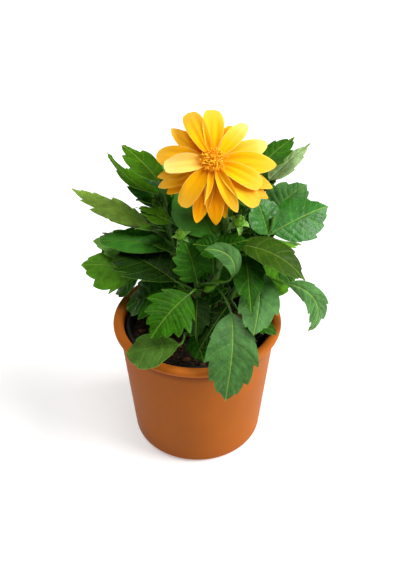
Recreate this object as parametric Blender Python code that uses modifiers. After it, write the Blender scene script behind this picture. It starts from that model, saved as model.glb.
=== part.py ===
"""A dahlia in flower, in a black nursery pot that stands in a terracotta-coloured cover pot.

The origin is the centre of the cover pot's flat underside, +Z is up and the bloom looks towards -Y.
Every size below is in millimetres and every angle in degrees. MM turns a size into metres.
"""
import math
import random
from collections import namedtuple
from functools import partial

import bmesh
import bpy
from mathutils import Matrix, Vector
from mathutils.bvhtree import BVHTree

MM = 0.001
PLANT = "potted_dahlia"     # the collection that holds the parts
MERGE = 0.00002             # metres, closes the seams of curves and of turned shapes
CLEAR = 0.3                 # gap between pieces that touch on the real plant
SHARP_ANGLE = 40            # an edge that turns more than this is shaded sharp

# Cover pot: a turned ceramic shell with a rounded lip
POT_HEIGHT = 118.0
POT_RIM_RADIUS = 70.0
LIP_WIDTH = 8.6
LIP_HEIGHT = 6.4
BODY_TOP_RADIUS = 65.7
BODY_BASE_RADIUS = 55.9
BASE_ROUNDING = 4.9
FLOOR_THICKNESS = 5.0
FLOOR_FILLET = 3.0
TURNED_STEPS = 40

# Nursery pot: thin black plastic with a rolled rim, standing a little off centre on the cover pot's floor
NURSERY_CENTRE = (-1.5, 1.0)
NURSERY_RIM_Z = 112.0
NURSERY_RIM_RADIUS = 58.0
NURSERY_RIM_DROP = 5.0
NURSERY_TOP_RADIUS = 56.0
NURSERY_BASE_RADIUS = 43.0
NURSERY_WALL = 1.4
NURSERY_RIM_EDGE = 0.6

# Potting soil, level in the middle and lower at the nursery pot's wall
SOIL_TOP_Z = 104.0
SOIL_EDGE_Z = 102.0
SOIL_LEVEL_SHARE = 0.5

# Stems: the points that each one runs through, its radius at the foot and at the tip, and the height up
# to which it is a bare limb. Above that height it belongs to its mass of leaves. The main stem stays whole.
FOOT_Z = SOIL_TOP_Z + CLEAR
BLOOM_STEM = "main"
Stem = namedtuple("Stem", "points foot tip bare")
STEMS = {
    "main": Stem(((5, 0, FOOT_Z), (9, -1, 140), (19, -3, 178), (24, -3, 192), (21, 11, 210), (15, 28, 223),
                  (12, 35, 231), (12, 33.6, 234.5), (12, 27.3, 241.2)), 4.0, 2.4, None),
    "front": Stem(((-1, -7, FOOT_Z), (0, -5, 146), (-2, -4, 172), (-7, 1, 186)), 3.2, 1.4, 134),
    "left": Stem(((-7, 1, FOOT_Z), (-11, 8, 140), (-13, 15, 172), (-13, 21, 196)), 2.8, 1.4, 128),
    "back_left": Stem(((-5, 9, FOOT_Z), (-17, 22, 150), (-24, 32, 190), (-27, 38, 222)), 2.8, 1.3, 140),
    "right": Stem(((13, 1, FOOT_Z), (30, 5, 140), (47, 11, 172), (57, 14, 192), (60, 17, 204)), 2.8, 1.3, 128),
    "back_right": Stem(((9, 9, FOOT_Z), (25, 24, 150), (38, 34, 195), (44, 38, 226)), 2.8, 1.3, 140),
    "back": Stem(((1, 11, FOOT_Z), (0, 34, 150), (2, 48, 196)), 2.6, 1.3, 132),
    "low_front": Stem(((-5, -11, FOOT_Z), (-8, -22, 117), (-10, -34, 127)), 1.8, 1.2, 110),
}
STEM_SIDES = 8
SIDE_STEM_SIDES = 6
STEM_STEPS = 48             # points of a smooth centre line
STEM_SPACING = 6            # least distance between the rings of a stem

# A leaf's outline: how far its veins run forward, the two powers of its curve and the depth of a tooth
VEIN_SWEEP = 0.75
SWEEP_POWER = 1.2
OUTLINE_RISE = 1.0
OUTLINE_FALL = 0.9
TOOTH_DEPTH = 0.16
TOOTH_SLOPE = 0.8           # share of a tooth on its long side
TOOTHED = (0.10, 0.95)      # share of the blade that has teeth
BLADE_FOOT = 1.2            # least width near the petiole and near the tip
BLADE_POINT = 0.7
LEAF_THICKNESS = 0.9
LEAF_COLUMNS = 2
LEAF_ROWS = 8
MIDRIB_STEPS = 24

# Petioles: radius at the stem and in the blade, how much they arch up, and how far they run into the blade
PETIOLE_FOOT = 1.1
PETIOLE_TIP = 0.6
PETIOLE_ARCH = 0.5
PETIOLE_SUNK = 0.10
PETIOLE_SIDES = 4
STEM_GAP = 0.9              # a stalk on the main stem starts this far from its surface, at its middle line

# Leaves that the front of the plant shows. Each is held by its petiole at a height on its stem. Then come
# the place of the blade's base, the heading and pitch of the middle of its midrib, its length and width,
# and its bend along, roll about, fold across and swing sideways of the midrib, and its teeth a side.
Leaf = namedtuple("Leaf", "mass stem height base heading pitch length width bend roll fold swing teeth")
LEAVES = {
    "upper_left": Leaf("back_left", "back_left", 218, (-29, 30, 228), 129, 13, 53, 30, -25, -4, 0, 0, 4),
    "upper_left_edge": Leaf("back_left", "back_left", 204, (-31, 39, 212), 142, 20, 60, 28, 55, -20, 6, 0, 4),
    "left_long": Leaf("left", "left", 168, (-40, 37, 182), 146, 7, 82, 34, -10, -6, -6, 0, 5),
    "left_small": Leaf("left", "left", 192, (-20, 18, 199), 171, 17, 27, 24, -20, 0, 0, 0, 4),
    "left_smooth": Leaf("left", "left", 160, (-20, 20, 172), 164, -4, 65, 34, -25, 8, 6, 0, 4),
    "left_low": Leaf("left", "left", 136, (-50, 23, 148), 164, -5, 52, 50, -25, 30, -12, 0, 4),
    "left_pale": Leaf("back_left", "back_left", 150, (-36, 45, 159), 161, 8, 50, 27, -24, 4, 4, 0, 4),
    "left_lobe": Leaf("left", "left", 133, (-49, 28, 138), 178, -42, 29, 26, -20, 14, 0, 0, 3),
    "front_left": Leaf("front", "front", 146, (-17, -8, 160), 143, 6, 58, 48, -20, 8, 6, 0, 5),
    "front_left_lobe": Leaf("front", "front", 144, (-19, -3, 151), 176, -33, 48, 46, -25, 12, 0, 0, 4),
    "front_veined": Leaf("front", "front", 148, (-6, -30, 164), 220, -32, 46, 44, -35, 22, -6, 0, 5),
    "front_hanging": Leaf("front", "front", 150, (27, -41, 150), 262, -41, 65, 43, -25, -2, 0, -32, 5),
    "front_curled": Leaf("front", "front", 152, (27, -25, 176), 140, 41, 36, 24, -120, 0, 0, 0, 3),
    "front_upright": Leaf("front", "front", 150, (0, -12, 163), 135, 69, 38, 34, -20, 0, 10, 0, 5),
    "front_inner": Leaf("front", "front", 142, (0, -9, 144), 268, -22, 37, 26, -20, 0, 4, 0, 4),
    "right_inner": Leaf("front", "front", 140, (25, -14, 140), 236, -22, 46, 28, -20, 0, 4, 0, 4),
    "centre_right": Leaf("centre_right", "main", 190, (33, -7, 194), 343, -24, 60, 38, -60, -4, 4, 0, 4),
    "centre_left": Leaf("centre_left", "main", 190, (15, -3, 197), 121, 11, 64, 44, -20, 18, 4, 0, 4),
    "centre_front": Leaf("centre_front", "main", 176, (38, -1, 180), 273, -21, 54, 24, -20, 0, 8, 0, 4),
    "right_broad": Leaf("right", "right", 188, (60, 14, 191), 33, 6, 57, 44, -15, -30, -10, 0, 5),
    "right_upright": Leaf("right", "right", 188, (53, 12, 193), 151, 58, 28, 26, -20, 0, 6, 0, 4),
    "right_front": Leaf("right", "right", 160, (49, -4, 166), 263, -18, 60, 35, -20, -4, 0, -20, 4),
    "right_arching": Leaf("right", "right", 158, (71, -12, 160), 355, -67, 64, 21, -125, -55, 0, 0, 5),
    "right_tiny": Leaf("right", "right", 166, (67, 4, 164), 314, -41, 16, 16, -20, 0, 4, 0, 3),
    "right_low": Leaf("right", "right", 132, (39, -20, 132), 352, -28, 30, 24, -20, 0, 4, 0, 3),
    "inner_right": Leaf("right", "right", 134, (37, 9, 141), 32, 30, 42, 32, -20, 10, 4, 0, 4),
    "inner_back": Leaf("back", "back", 135, (5, 21, 138), 78, 58, 46, 36, -20, 0, 4, 0, 4),
    "back_right_broad": Leaf("back_right", "back_right", 180, (57, 41, 188), 35, 23, 46, 48, -20, -10, -6, 0, 5),
    "upper_right": Leaf("back_right", "back_right", 222, (48, 40, 234), 41, 19, 43, 27, -20, -4, -4, 0, 4),
    "upper_right_edge": Leaf("back_right", "back_right", 212, (58, 44, 222), 35, 26, 46, 26, -10, 6, 0, 0, 4),
    "rim_left": Leaf("low_front", "low_front", 124, (-13, -53, 130), 180, -11, 42, 42, -25, 4, -8, 0, 3),
    "rim_front": Leaf("low_front", "low_front", 118, (-1, -28, 122), 285, -22, 26, 24, -10, 0, 4, 0, 3),
}

# Leaves of the hidden side grow in pairs, each pair a quarter turn from the last. A row gives the mass,
# the heights of the lowest and highest pair, the number of pairs, the sector's middle heading and
# half-width, the petiole's length, and the blade's length at the lowest and at the highest pair.
Pairs = namedtuple("Pairs", "mass low high count middle spread petiole lower upper seed")
HIDDEN_SIDE = (
    Pairs("back", 136, 192, 4, 90, 80, 22, 66, 46, 592),
    Pairs("back_left", 146, 178, 3, 106, 45, 24, 68, 52, 433),
    Pairs("back_right", 146, 190, 3, 60, 45, 24, 68, 50, 40),
)
PAIR_START = 45
PAIR_TURN = 90
PAIR_WIDTH_RATIO = 0.62
PAIR_PITCH = (-6, 18)       # pitch of a blade at the lowest and at the highest pair
PAIR_RISE = (30, 50)        # climb of a petiole there
PAIR_BEND = -34
PAIR_TEETH = 5
PAIR_SPREAD = (0.3, 1.0)    # where in its sector a leaf goes that would fall outside it
HEADING_SCATTER = 16
PITCH_SCATTER = 13
ROLL_SCATTER = 20
FOLD_SCATTER = 6
SWING_SCATTER = 14

# Buds on stalks: the mass that holds it, where its stalk starts, its centre, its radius and its lean
Bud = namedtuple("Bud", "mass start centre radius heading")
BUDS = (
    Bud("front", (-6, 0, 184), (-13, -1, 199.5), 4.6, 240),
    Bud("back_left", (-25, 34.4, 198), (-32, 36, 205.8), 4.0, 200),
    Bud("centre_front", (31.8, 0.2, 179.3), (32, -1, 212), 6.0, 280),
)
BUD_STALK = (1.0, 0.9)      # radius at the foot and at the bud
BUD_PITCH = 60
BUD_ROUNDNESS = 0.9

# Bloom: the middle of the disc's face, the tilt of its axis above the level, and depths behind the face
BLOOM_FACE = (12.0, 14.0, 256.0)
BLOOM_TILT = 48.0
DISC_RADIUS = 7.6
DISC_HEIGHT = 6.0
RECEPTACLE_RADIUS = 8.0
RECEPTACLE_BACK_RADIUS = 6.4
RECEPTACLE_FRONT = 3.0
RECEPTACLE_BACK = 11.0
CALYX_RADIUS = 7.0
CALYX_BACK_RADIUS = 2.8
CALYX_LENGTH = 8.0
ROUND_SEGMENTS = 16

# Petals and bracts are thin blades round the axis: a root at a radius and a depth, then a tilt towards
# the viewer and a bend from root to tip. Their outline narrows towards the root and rounds to a tip.
PETAL_ROOT_RADIUS = 5.0
PETAL_FRONT_DEPTH = 4.0
PETAL_ROW_DEPTH = 2.0
PETAL_RISE = 0.75
PETAL_FALL = 0.42
PETAL_CUP = 0.10
PETAL_COLUMNS = 3
PETAL_ROWS = 5
PETAL_FOOT = 3.2            # least width near the root and near the tip
PETAL_POINT = 1.0
Petal = namedtuple("Petal", "angle length width row tilt bend")
PETALS = (
    Petal(89, 43, 17, 1, -6, -16), Petal(113, 44, 16, 1, -6, -16), Petal(134, 42, 13, 3, -16, -8),
    Petal(166, 41, 17, 2, -10, -14), Petal(186, 41, 12, 3, -20, -10), Petal(188, 31, 15, 0, 4, -36),
    Petal(197, 42, 12, 3, -20, -10), Petal(207, 38, 12, 3, -20, -10), Petal(234, 36, 15, 0, -2, -24),
    Petal(254, 42, 14, 1, -8, -14), Petal(259, 29, 5, 0, 4, -10), Petal(273, 42, 15, 1, -8, -14),
    Petal(284, 37, 11, 3, -18, -10), Petal(296, 37, 10, 0, -4, -16), Petal(318, 42, 17, 1, -4, -18),
    Petal(336, 39, 16, 0, -2, -22), Petal(333, 46, 12, 3, -16, -10), Petal(343, 46, 13, 2, -14, -12),
    Petal(2, 45, 18, 1, -6, -14), Petal(25, 43, 16, 2, -8, -12), Petal(53, 39, 13, 1, -6, -14),
    Petal(67, 37, 12, 3, -18, -8),
)
BRACTS = 7
BRACT_START = 15
BRACT = Petal(0, 16, 8, 0, -18, -12)
BRACT_ROOT_RADIUS = 3.5
BRACT_DEPTH = 3.0           # behind the front of the calyx
BRACT_COLUMNS = 2
BRACT_ROWS = 3

# Colours as sRGB hex, and roughness
FINISHES = {
    "terracotta_ceramic": ("B8683A", 0.55),
    "black_plastic": ("17181A", 0.5),
    "potting_soil": ("2B1D14", 0.95),
    "stem_green": ("4E7A2E", 0.55),
    "leaf_green": ("3B7A2C", 0.5),
    "petal_yellow": ("FFC51E", 0.5),
    "disc_orange": ("F29A16", 0.6),
}


def linear(channel):
    """One sRGB channel, 0 to 255, as the linear value that a shader takes."""
    value = channel / 255
    return value / 12.92 if value <= 0.04045 else ((value + 0.055) / 1.055) ** 2.4


def finish(name):
    """The material of that name, made the first time it is asked for."""
    if name in bpy.data.materials:
        return bpy.data.materials[name]
    colour, roughness = FINISHES[name]
    material = bpy.data.materials.new(name)
    material.use_nodes = True
    shader = material.node_tree.nodes["Principled BSDF"]
    shader.inputs["Base Color"].default_value = [linear(int(colour[i:i + 2], 16)) for i in (0, 2, 4)] + [1]
    shader.inputs["Roughness"].default_value = roughness
    shader.inputs["Metallic"].default_value = 0
    return material


def collection(name):
    """The collection of that name, linked to the scene."""
    if name not in bpy.data.collections:
        bpy.context.scene.collection.children.link(bpy.data.collections.new(name))
    return bpy.data.collections[name]


def add_object(name, mesh, material, group):
    """A new object for a mesh, with its material, in a collection."""
    piece = bpy.data.objects.new(name, mesh)
    mesh.materials.clear()
    mesh.materials.append(finish(material))
    collection(group).objects.link(piece)
    return piece


def mesh_from(bm, name):
    """A mesh made of a bmesh, which is freed, shaded smooth between its sharp edges."""
    mesh = bpy.data.meshes.new(name)
    bm.to_mesh(mesh)
    bm.free()
    mesh.shade_smooth()
    mesh.set_sharp_from_angle(angle=math.radians(SHARP_ANGLE))
    return mesh


def evaluated_mesh(piece):
    """A mesh of the object as its modifiers or its bevel shape it."""
    depsgraph = bpy.context.evaluated_depsgraph_get()
    return bpy.data.meshes.new_from_object(piece.evaluated_get(depsgraph))


def apply_modifiers(piece):
    """Give the object its evaluated mesh and clear its modifiers."""
    mesh = evaluated_mesh(piece)
    piece.modifiers.clear()
    old, piece.data = piece.data, mesh
    bpy.data.meshes.remove(old)


def between(limits, share):
    """The value at a share of the way from the first limit to the second."""
    return limits[0] + (limits[1] - limits[0]) * share


def heading(azimuth, pitch=0.0):
    """The unit vector of a heading round +Z from +X and a pitch above the level."""
    a, p = math.radians(azimuth), math.radians(pitch)
    return Vector((math.cos(a) * math.cos(p), math.sin(a) * math.cos(p), math.sin(p)))


def smooth(points, count):
    """Points at even steps of a curve that runs smoothly through the given ones."""
    knots = [Vector(p) for p in points]
    knots = [2 * knots[0] - knots[1]] + knots + [2 * knots[-1] - knots[-2]]
    spans = len(knots) - 3
    curve = []
    for step in range(count + 1):
        place = step / count * spans
        k = min(int(place), spans - 1)
        t = place - k
        a, b, c, d = knots[k:k + 4]
        curve.append(0.5 * (2 * b + (c - a) * t + (2 * a - 5 * b + 4 * c - d) * t * t
                            + (3 * b - a - 3 * c + d) * t ** 3))
    return curve


# Stems

def stem_radius(stem, height):
    """A stem's radius at a height, by its even taper."""
    share = (height - stem.points[0][2]) / (stem.points[-1][2] - stem.points[0][2])
    return between((stem.foot, stem.tip), min(max(share, 0), 1))


def stem_point(stem, height):
    """The point of a stem's centre line at a height."""
    line = smooth(stem.points, STEM_STEPS)
    for low, high in zip(line, line[1:]):
        if height <= high.z:
            break
    return low.lerp(high, (height - low.z) / (high.z - low.z))


def stem_stretch(stem, low, high):
    """The centre line of a stem from one height to another, evenly spaced, and the radius at each point."""
    line = [stem_point(stem, low)]
    for point in smooth(stem.points, STEM_STEPS):
        if low < point.z < high - STEM_SPACING / 2 and (point - line[-1]).length >= STEM_SPACING:
            line.append(point)
    line.append(stem_point(stem, high))
    return line, [stem_radius(stem, point.z) for point in line]


def limb(name, points, radii, sides, material, group, foot=None):
    """A tapering limb: a curve with a bevel and filled caps, made a closed mesh and cut flat at its foot."""
    curve = bpy.data.curves.new(name, "CURVE")
    curve.dimensions = "3D"
    curve.bevel_depth = MM
    curve.bevel_resolution = sides // 2 - 2
    curve.use_fill_caps = True
    spline = curve.splines.new("POLY")
    spline.points.add(len(points) - 1)
    for knot, point, radius in zip(spline.points, points, radii):
        knot.co = (*(Vector(point) * MM), 1)
        knot.radius = radius
    rod = bpy.data.objects.new(name, curve)
    bpy.context.scene.collection.objects.link(rod)
    mesh = evaluated_mesh(rod)
    bpy.data.objects.remove(rod)
    bpy.data.curves.remove(curve)
    bm = bmesh.new()
    bm.from_mesh(mesh)
    bpy.data.meshes.remove(mesh)
    bmesh.ops.remove_doubles(bm, verts=bm.verts, dist=MERGE)
    if foot is not None:
        bmesh.ops.bisect_plane(bm, geom=bm.verts[:] + bm.edges[:] + bm.faces[:], plane_co=(0, 0, foot * MM),
                               plane_no=(0, 0, 1), clear_inner=True)
        bmesh.ops.holes_fill(bm, edges=[e for e in bm.edges if e.is_boundary])
    bmesh.ops.recalc_face_normals(bm, faces=bm.faces)
    return add_object(name, mesh_from(bm, name), material, group)


def make_limb(name, stem):
    """A stem's bare limb, cut flat where it meets the soil: the whole main stem, or a side stem's foot."""
    whole = stem.bare is None
    line, radii = stem_stretch(stem, FOOT_Z, stem.points[-1][2] if whole else stem.bare)
    line[0] = line[0] * 2 - line[1]
    return limb(f"{name}_stem" if whole else f"stem_{name}", line, radii,
                STEM_SIDES if whole else SIDE_STEM_SIDES, "stem_green", PLANT, FOOT_Z)


def make_mass_stem(name, stem):
    """The part of a side stem inside its mass of leaves, starting just clear of the bare foot."""
    line, radii = stem_stretch(stem, stem.bare + CLEAR, stem.points[-1][2])
    return limb(f"{name}_stem", line, radii, SIDE_STEM_SIDES, "leaf_green", f"mass_{name}")


# Leaves

def midrib(leaf):
    """Points and directions along a blade's midrib, from its base to its tip."""
    points = [Vector(leaf.base)]
    ways = []
    for step in range(MIDRIB_STEPS + 1):
        off = step / MIDRIB_STEPS - 0.5
        ways.append(heading(leaf.heading + leaf.swing * off, leaf.pitch + leaf.bend * off))
    for here, there in zip(ways, ways[1:]):
        points.append(points[-1] + (here + there) * leaf.length / MIDRIB_STEPS / 2)
    return points, ways


def along(rib, share):
    """The point and direction at a share of the way along a midrib."""
    points, ways = rib
    place = min(max(share, 0.0), 1.0) * MIDRIB_STEPS
    k = min(int(place), MIDRIB_STEPS - 1)
    return points[k].lerp(points[k + 1], place - k), ways[k].lerp(ways[k + 1], place - k).normalized()


def outline(share, rise, fall):
    """A blade's width at a share of its length, 1 where it is widest."""
    share = min(max(share, 0.0), 1.0)
    peak = rise / (rise + fall)
    return share ** rise * (1 - share) ** fall / (peak ** rise * (1 - peak) ** fall)


def half_width(leaf, t, share):
    """Half the blade's width at row t, whose margin lies at a share of the length."""
    shape = outline(share, OUTLINE_RISE, OUTLINE_FALL)
    tooth = 0.0
    if TOOTHED[0] < t < TOOTHED[1]:
        phase = t * leaf.teeth % 1
        saw = phase / TOOTH_SLOPE if phase < TOOTH_SLOPE else (1 - phase) / (1 - TOOTH_SLOPE)
        tooth = TOOTH_DEPTH * (saw - 0.5) * shape
    half = leaf.width / 2 * (shape * (1 - TOOTH_DEPTH / 2) + tooth)
    return max(half, (BLADE_FOOT if t < 0.5 else BLADE_POINT) / 2)


def blade_point(leaf, rib, t, u):
    """The point of a blade at row t, from 0 at its base to 1 at its tip, and u from -1 to 1 across it."""
    sweep = VEIN_SWEEP / math.pi * math.sin(math.pi * t)
    half = half_width(leaf, t, t + sweep)
    point, way = along(rib, t + sweep * abs(u) ** SWEEP_POWER)
    side = heading(leaf.heading).cross(Vector((0, 0, 1)))
    normal = side.cross(way).normalized()
    roll, fold = math.radians(leaf.roll), math.radians(leaf.fold)
    across = side * math.cos(roll) + normal * math.sin(roll)
    over = normal * math.cos(roll) - side * math.sin(roll)
    return point + across * (u * half * math.cos(fold)) + over * (abs(u) * half * math.sin(fold))


def thin_blade(name, columns, rows, point_at, material, group):
    """A grid whose points are given by a function of its row and column, thickened by Solidify."""
    bm = bmesh.new()
    bmesh.ops.create_grid(bm, x_segments=columns, y_segments=rows, size=0.5)
    for vert in bm.verts:
        vert.co = point_at(vert.co.y + 0.5, vert.co.x * 2) * MM
    piece = add_object(name, mesh_from(bm, name), material, group)
    solid = piece.modifiers.new("thickness", "SOLIDIFY")
    solid.thickness = LEAF_THICKNESS * MM
    solid.offset = 0
    apply_modifiers(piece)
    return piece


def stalk_start(leaf):
    """Where a petiole starts: inside its own mass's stem, or just clear of the main stem."""
    stem = STEMS[leaf.stem]
    point = stem_point(stem, leaf.height)
    if leaf.stem != BLOOM_STEM:
        return point
    out = Vector(leaf.base) - point
    out.z = 0
    return point + out.normalized() * (stem_radius(stem, leaf.height) + STEM_GAP)


def make_petiole(name, leaf, rib):
    """A leaf's stalk: it leaves the stem outwards and up, and ends inside the blade along its midrib."""
    first, last = stalk_start(leaf), rib[0][0]
    span = (last - first).length
    leave = ((last - first).normalized() + Vector((0, 0, PETIOLE_ARCH))).normalized() * span
    arrive = rib[1][0] * span
    steps = 4 if span > 14 else 3
    line = []
    for step in range(steps + 1):
        t = step / steps
        line.append(first * (2 * t ** 3 - 3 * t ** 2 + 1) + leave * (t ** 3 - 2 * t ** 2 + t)
                    + last * (3 * t ** 2 - 2 * t ** 3) + arrive * (t ** 3 - t ** 2))
    line.append(along(rib, PETIOLE_SUNK)[0])
    radii = [between((PETIOLE_FOOT, PETIOLE_TIP), k / (steps + 1)) for k in range(steps + 2)]
    return limb(name, line, radii, PETIOLE_SIDES, "leaf_green", f"mass_{leaf.mass}")


def make_leaf(name, leaf):
    """One leaf in its mass's collection: the blade and its petiole."""
    rib = midrib(leaf)
    blade = thin_blade(f"{name}_blade", LEAF_COLUMNS, LEAF_ROWS, partial(blade_point, leaf, rib),
                       "leaf_green", f"mass_{leaf.mass}")
    return [blade, make_petiole(f"{name}_petiole", leaf, rib)]


def hidden_leaves(pairs):
    """The rule for the hidden side: pairs up a stem, each a quarter turn from the last."""
    rng = random.Random(pairs.seed)
    leaves = []
    for k in range(pairs.count):
        share = k / (pairs.count - 1)
        height = between((pairs.low, pairs.high), share)
        length = between((pairs.lower, pairs.upper), share)
        stalk = stem_point(STEMS[pairs.mass], height)
        for side in (0, 180):
            way = pairs.middle + PAIR_START + PAIR_TURN * k + side
            way += rng.uniform(-HEADING_SCATTER, HEADING_SCATTER)
            pitch = between(PAIR_PITCH, share) + rng.uniform(-PITCH_SCATTER, PITCH_SCATTER)
            away = (way - pairs.middle + 180) % 360 - 180
            if abs(away) > pairs.spread:
                way = pairs.middle + math.copysign(pairs.spread, away) * rng.uniform(*PAIR_SPREAD)
            base = stalk + heading(way, between(PAIR_RISE, share)) * pairs.petiole
            leaves.append(Leaf(pairs.mass, pairs.mass, height, tuple(base), way, pitch, length,
                               length * PAIR_WIDTH_RATIO, PAIR_BEND, rng.uniform(-ROLL_SCATTER, ROLL_SCATTER),
                               rng.uniform(-FOLD_SCATTER, FOLD_SCATTER),
                               rng.uniform(-SWING_SCATTER, SWING_SCATTER), PAIR_TEETH))
    return leaves


def make_bud(name, bud):
    """A closed bud on its stalk: a ball, a little flattened along its lean."""
    group = f"mass_{bud.mass}"
    limb(f"{name}_stalk", [bud.start, bud.centre], BUD_STALK, SIDE_STEM_SIDES, "leaf_green", group)
    bm = bmesh.new()
    bmesh.ops.create_uvsphere(bm, u_segments=8, v_segments=6, radius=bud.radius * MM)
    turn = Vector((0, 0, 1)).rotation_difference(heading(bud.heading, BUD_PITCH)).to_matrix().to_4x4()
    squat = Matrix.Diagonal((1, 1, BUD_ROUNDNESS, 1))
    bmesh.ops.transform(bm, matrix=Matrix.Translation(Vector(bud.centre) * MM) @ turn @ squat, verts=bm.verts)
    return add_object(name, mesh_from(bm, name), "leaf_green", group)


def search_tree(pieces):
    """One search tree over the faces of some pieces."""
    bm = bmesh.new()
    for piece in pieces:
        bm.from_mesh(piece.data)
    tree = BVHTree.FromBMesh(bm)
    bm.free()
    return tree


def fuse(name, group, material):
    """Join a collection's solids into one with a Boolean union, then remove them."""
    first, *rest = collection(group).objects
    collection(group).objects.unlink(first)
    collection(PLANT).objects.link(first)
    if rest:
        union = first.modifiers.new("union", "BOOLEAN")
        union.operation = "UNION"
        union.operand_type = "COLLECTION"
        union.collection = collection(group)
        apply_modifiers(first)
    for piece in rest:
        bpy.data.objects.remove(piece)
    bpy.data.collections.remove(collection(group))
    first.name = name
    first.data.name = name
    first.data.materials.clear()
    first.data.materials.append(finish(material))
    return first


def grow_hidden_side(grown, limbs):
    """Add the hidden side's leaves, leaving out any that would cut a limb or another mass."""
    for pairs in HIDDEN_SIDE:
        others = limbs + [piece for mass, pieces in grown.items() if mass != pairs.mass for piece in pieces]
        room = search_tree(others)
        for number, leaf in enumerate(hidden_leaves(pairs), 1):
            pieces = make_leaf(f"{pairs.mass}_{number}", leaf)
            if search_tree(pieces).overlap(room):
                for piece in pieces:
                    bpy.data.objects.remove(piece)
            else:
                grown[pairs.mass].extend(pieces)


def make_masses(limbs):
    """Every mass of leaves: its stem, petioles, blades and buds, fused into one solid each."""
    grown = {name: [make_mass_stem(name, stem)] for name, stem in STEMS.items() if name != BLOOM_STEM}
    for name, leaf in LEAVES.items():
        grown.setdefault(leaf.mass, []).extend(make_leaf(name, leaf))
    grow_hidden_side(grown, limbs)
    for number, bud in enumerate(BUDS, 1):
        make_bud(f"bud_{number}", bud)
    for mass in grown:
        fuse(f"leaves_{mass}", f"mass_{mass}", "leaf_green")


# Bloom

def bloom_frame():
    """The bloom's face point, its axis, and the rightward and upward directions in its face."""
    axis = heading(-90, BLOOM_TILT)
    right = Vector((1, 0, 0))
    return Vector(BLOOM_FACE), axis, right, axis.cross(right)


def petal_point(petal, root_radius, depth, t, u):
    """The point of a petal or bract at a share of its length and u from -1 to 1 across it."""
    face, axis, right, up = bloom_frame()
    angle = math.radians(petal.angle)
    out = right * math.cos(angle) + up * math.sin(angle)
    climb = math.radians(petal.tilt + petal.bend * t / 2)
    point = face - axis * depth + out * root_radius
    point = point + (out * math.cos(climb) + axis * math.sin(climb)) * petal.length * t
    half = petal.width * outline(t, PETAL_RISE, PETAL_FALL) / 2
    half = max(half, (PETAL_FOOT if t < 0.5 else PETAL_POINT) / 2)
    cup = PETAL_CUP * petal.width * u * u * math.sin(math.pi * min(1, t + 0.1))
    return point + axis.cross(out) * (u * half) + axis * cup


def bloom_drum(name, front_radius, back_radius, near, far, material, group):
    """A tapering round piece on the bloom's axis, from one depth behind its face to another."""
    face, axis, _, _ = bloom_frame()
    bm = bmesh.new()
    bmesh.ops.create_cone(bm, cap_ends=True, segments=ROUND_SEGMENTS, radius1=back_radius * MM,
                          radius2=front_radius * MM, depth=(far - near) * MM)
    turn = Vector((0, 0, 1)).rotation_difference(axis).to_matrix().to_4x4()
    centre = Matrix.Translation((face - axis * (near + far) / 2) * MM)
    bmesh.ops.transform(bm, matrix=centre @ turn, verts=bm.verts)
    return add_object(name, mesh_from(bm, name), material, group)


def make_petals():
    """The ray petals, fused to the receptacle that they grow from."""
    for number, petal in enumerate(PETALS, 1):
        depth = PETAL_FRONT_DEPTH + PETAL_ROW_DEPTH * petal.row
        thin_blade(f"petal_{number}", PETAL_COLUMNS, PETAL_ROWS,
                   partial(petal_point, petal, PETAL_ROOT_RADIUS, depth), "petal_yellow", "rays")
    bloom_drum("receptacle", RECEPTACLE_RADIUS, RECEPTACLE_BACK_RADIUS, RECEPTACLE_FRONT, RECEPTACLE_BACK,
               "petal_yellow", "rays")
    return fuse("bloom_petals", "rays", "petal_yellow")


def make_calyx():
    """The green cup behind the petals, with its ring of bracts fused on."""
    near = RECEPTACLE_BACK + CLEAR
    bloom_drum("cup", CALYX_RADIUS, CALYX_BACK_RADIUS, near, near + CALYX_LENGTH, "leaf_green", "calyx")
    for number in range(BRACTS):
        bract = BRACT._replace(angle=BRACT_START + 360 / BRACTS * number)
        thin_blade(f"bract_{number}", BRACT_COLUMNS, BRACT_ROWS,
                   partial(petal_point, bract, BRACT_ROOT_RADIUS, near + BRACT_DEPTH),
                   "leaf_green", "calyx")
    return fuse("bloom_calyx", "calyx", "leaf_green")


def make_disc():
    """The disc of small florets: a low dome that stands just clear of the receptacle."""
    face, axis, _, _ = bloom_frame()
    bm = bmesh.new()
    bmesh.ops.create_uvsphere(bm, u_segments=ROUND_SEGMENTS, v_segments=10, radius=1.0)
    bmesh.ops.bisect_plane(bm, geom=bm.verts[:] + bm.edges[:] + bm.faces[:], plane_co=(0, 0, 0.02),
                           plane_no=(0, 0, -1), clear_outer=True)
    bmesh.ops.holes_fill(bm, edges=[e for e in bm.edges if e.is_boundary])
    bmesh.ops.scale(bm, vec=(DISC_RADIUS * MM, DISC_RADIUS * MM, DISC_HEIGHT * MM), verts=bm.verts)
    seat = Matrix.Translation((face - axis * (RECEPTACLE_FRONT - CLEAR)) * MM)
    turn = Vector((0, 0, 1)).rotation_difference(axis).to_matrix().to_4x4()
    bmesh.ops.transform(bm, matrix=seat @ turn, verts=bm.verts)
    bmesh.ops.recalc_face_normals(bm, faces=bm.faces)
    return add_object("bloom_disc", mesh_from(bm, "bloom_disc"), "disc_orange", PLANT)


# Pots and soil

def turned(name, profile, material, centre=(0.0, 0.0)):
    """A turned piece: a profile of (radius, height) points, swept round by a Screw modifier."""
    bm = bmesh.new()
    verts = [bm.verts.new((radius * MM, 0, height * MM)) for radius, height in profile]
    for here, there in zip(verts, verts[1:]):
        bm.edges.new((here, there))
    piece = add_object(name, mesh_from(bm, name), material, PLANT)
    piece.location = (centre[0] * MM, centre[1] * MM, 0)
    screw = piece.modifiers.new("turn", "SCREW")
    screw.steps = TURNED_STEPS
    screw.render_steps = TURNED_STEPS
    screw.use_merge_vertices = True
    screw.merge_threshold = MERGE
    return piece


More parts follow.
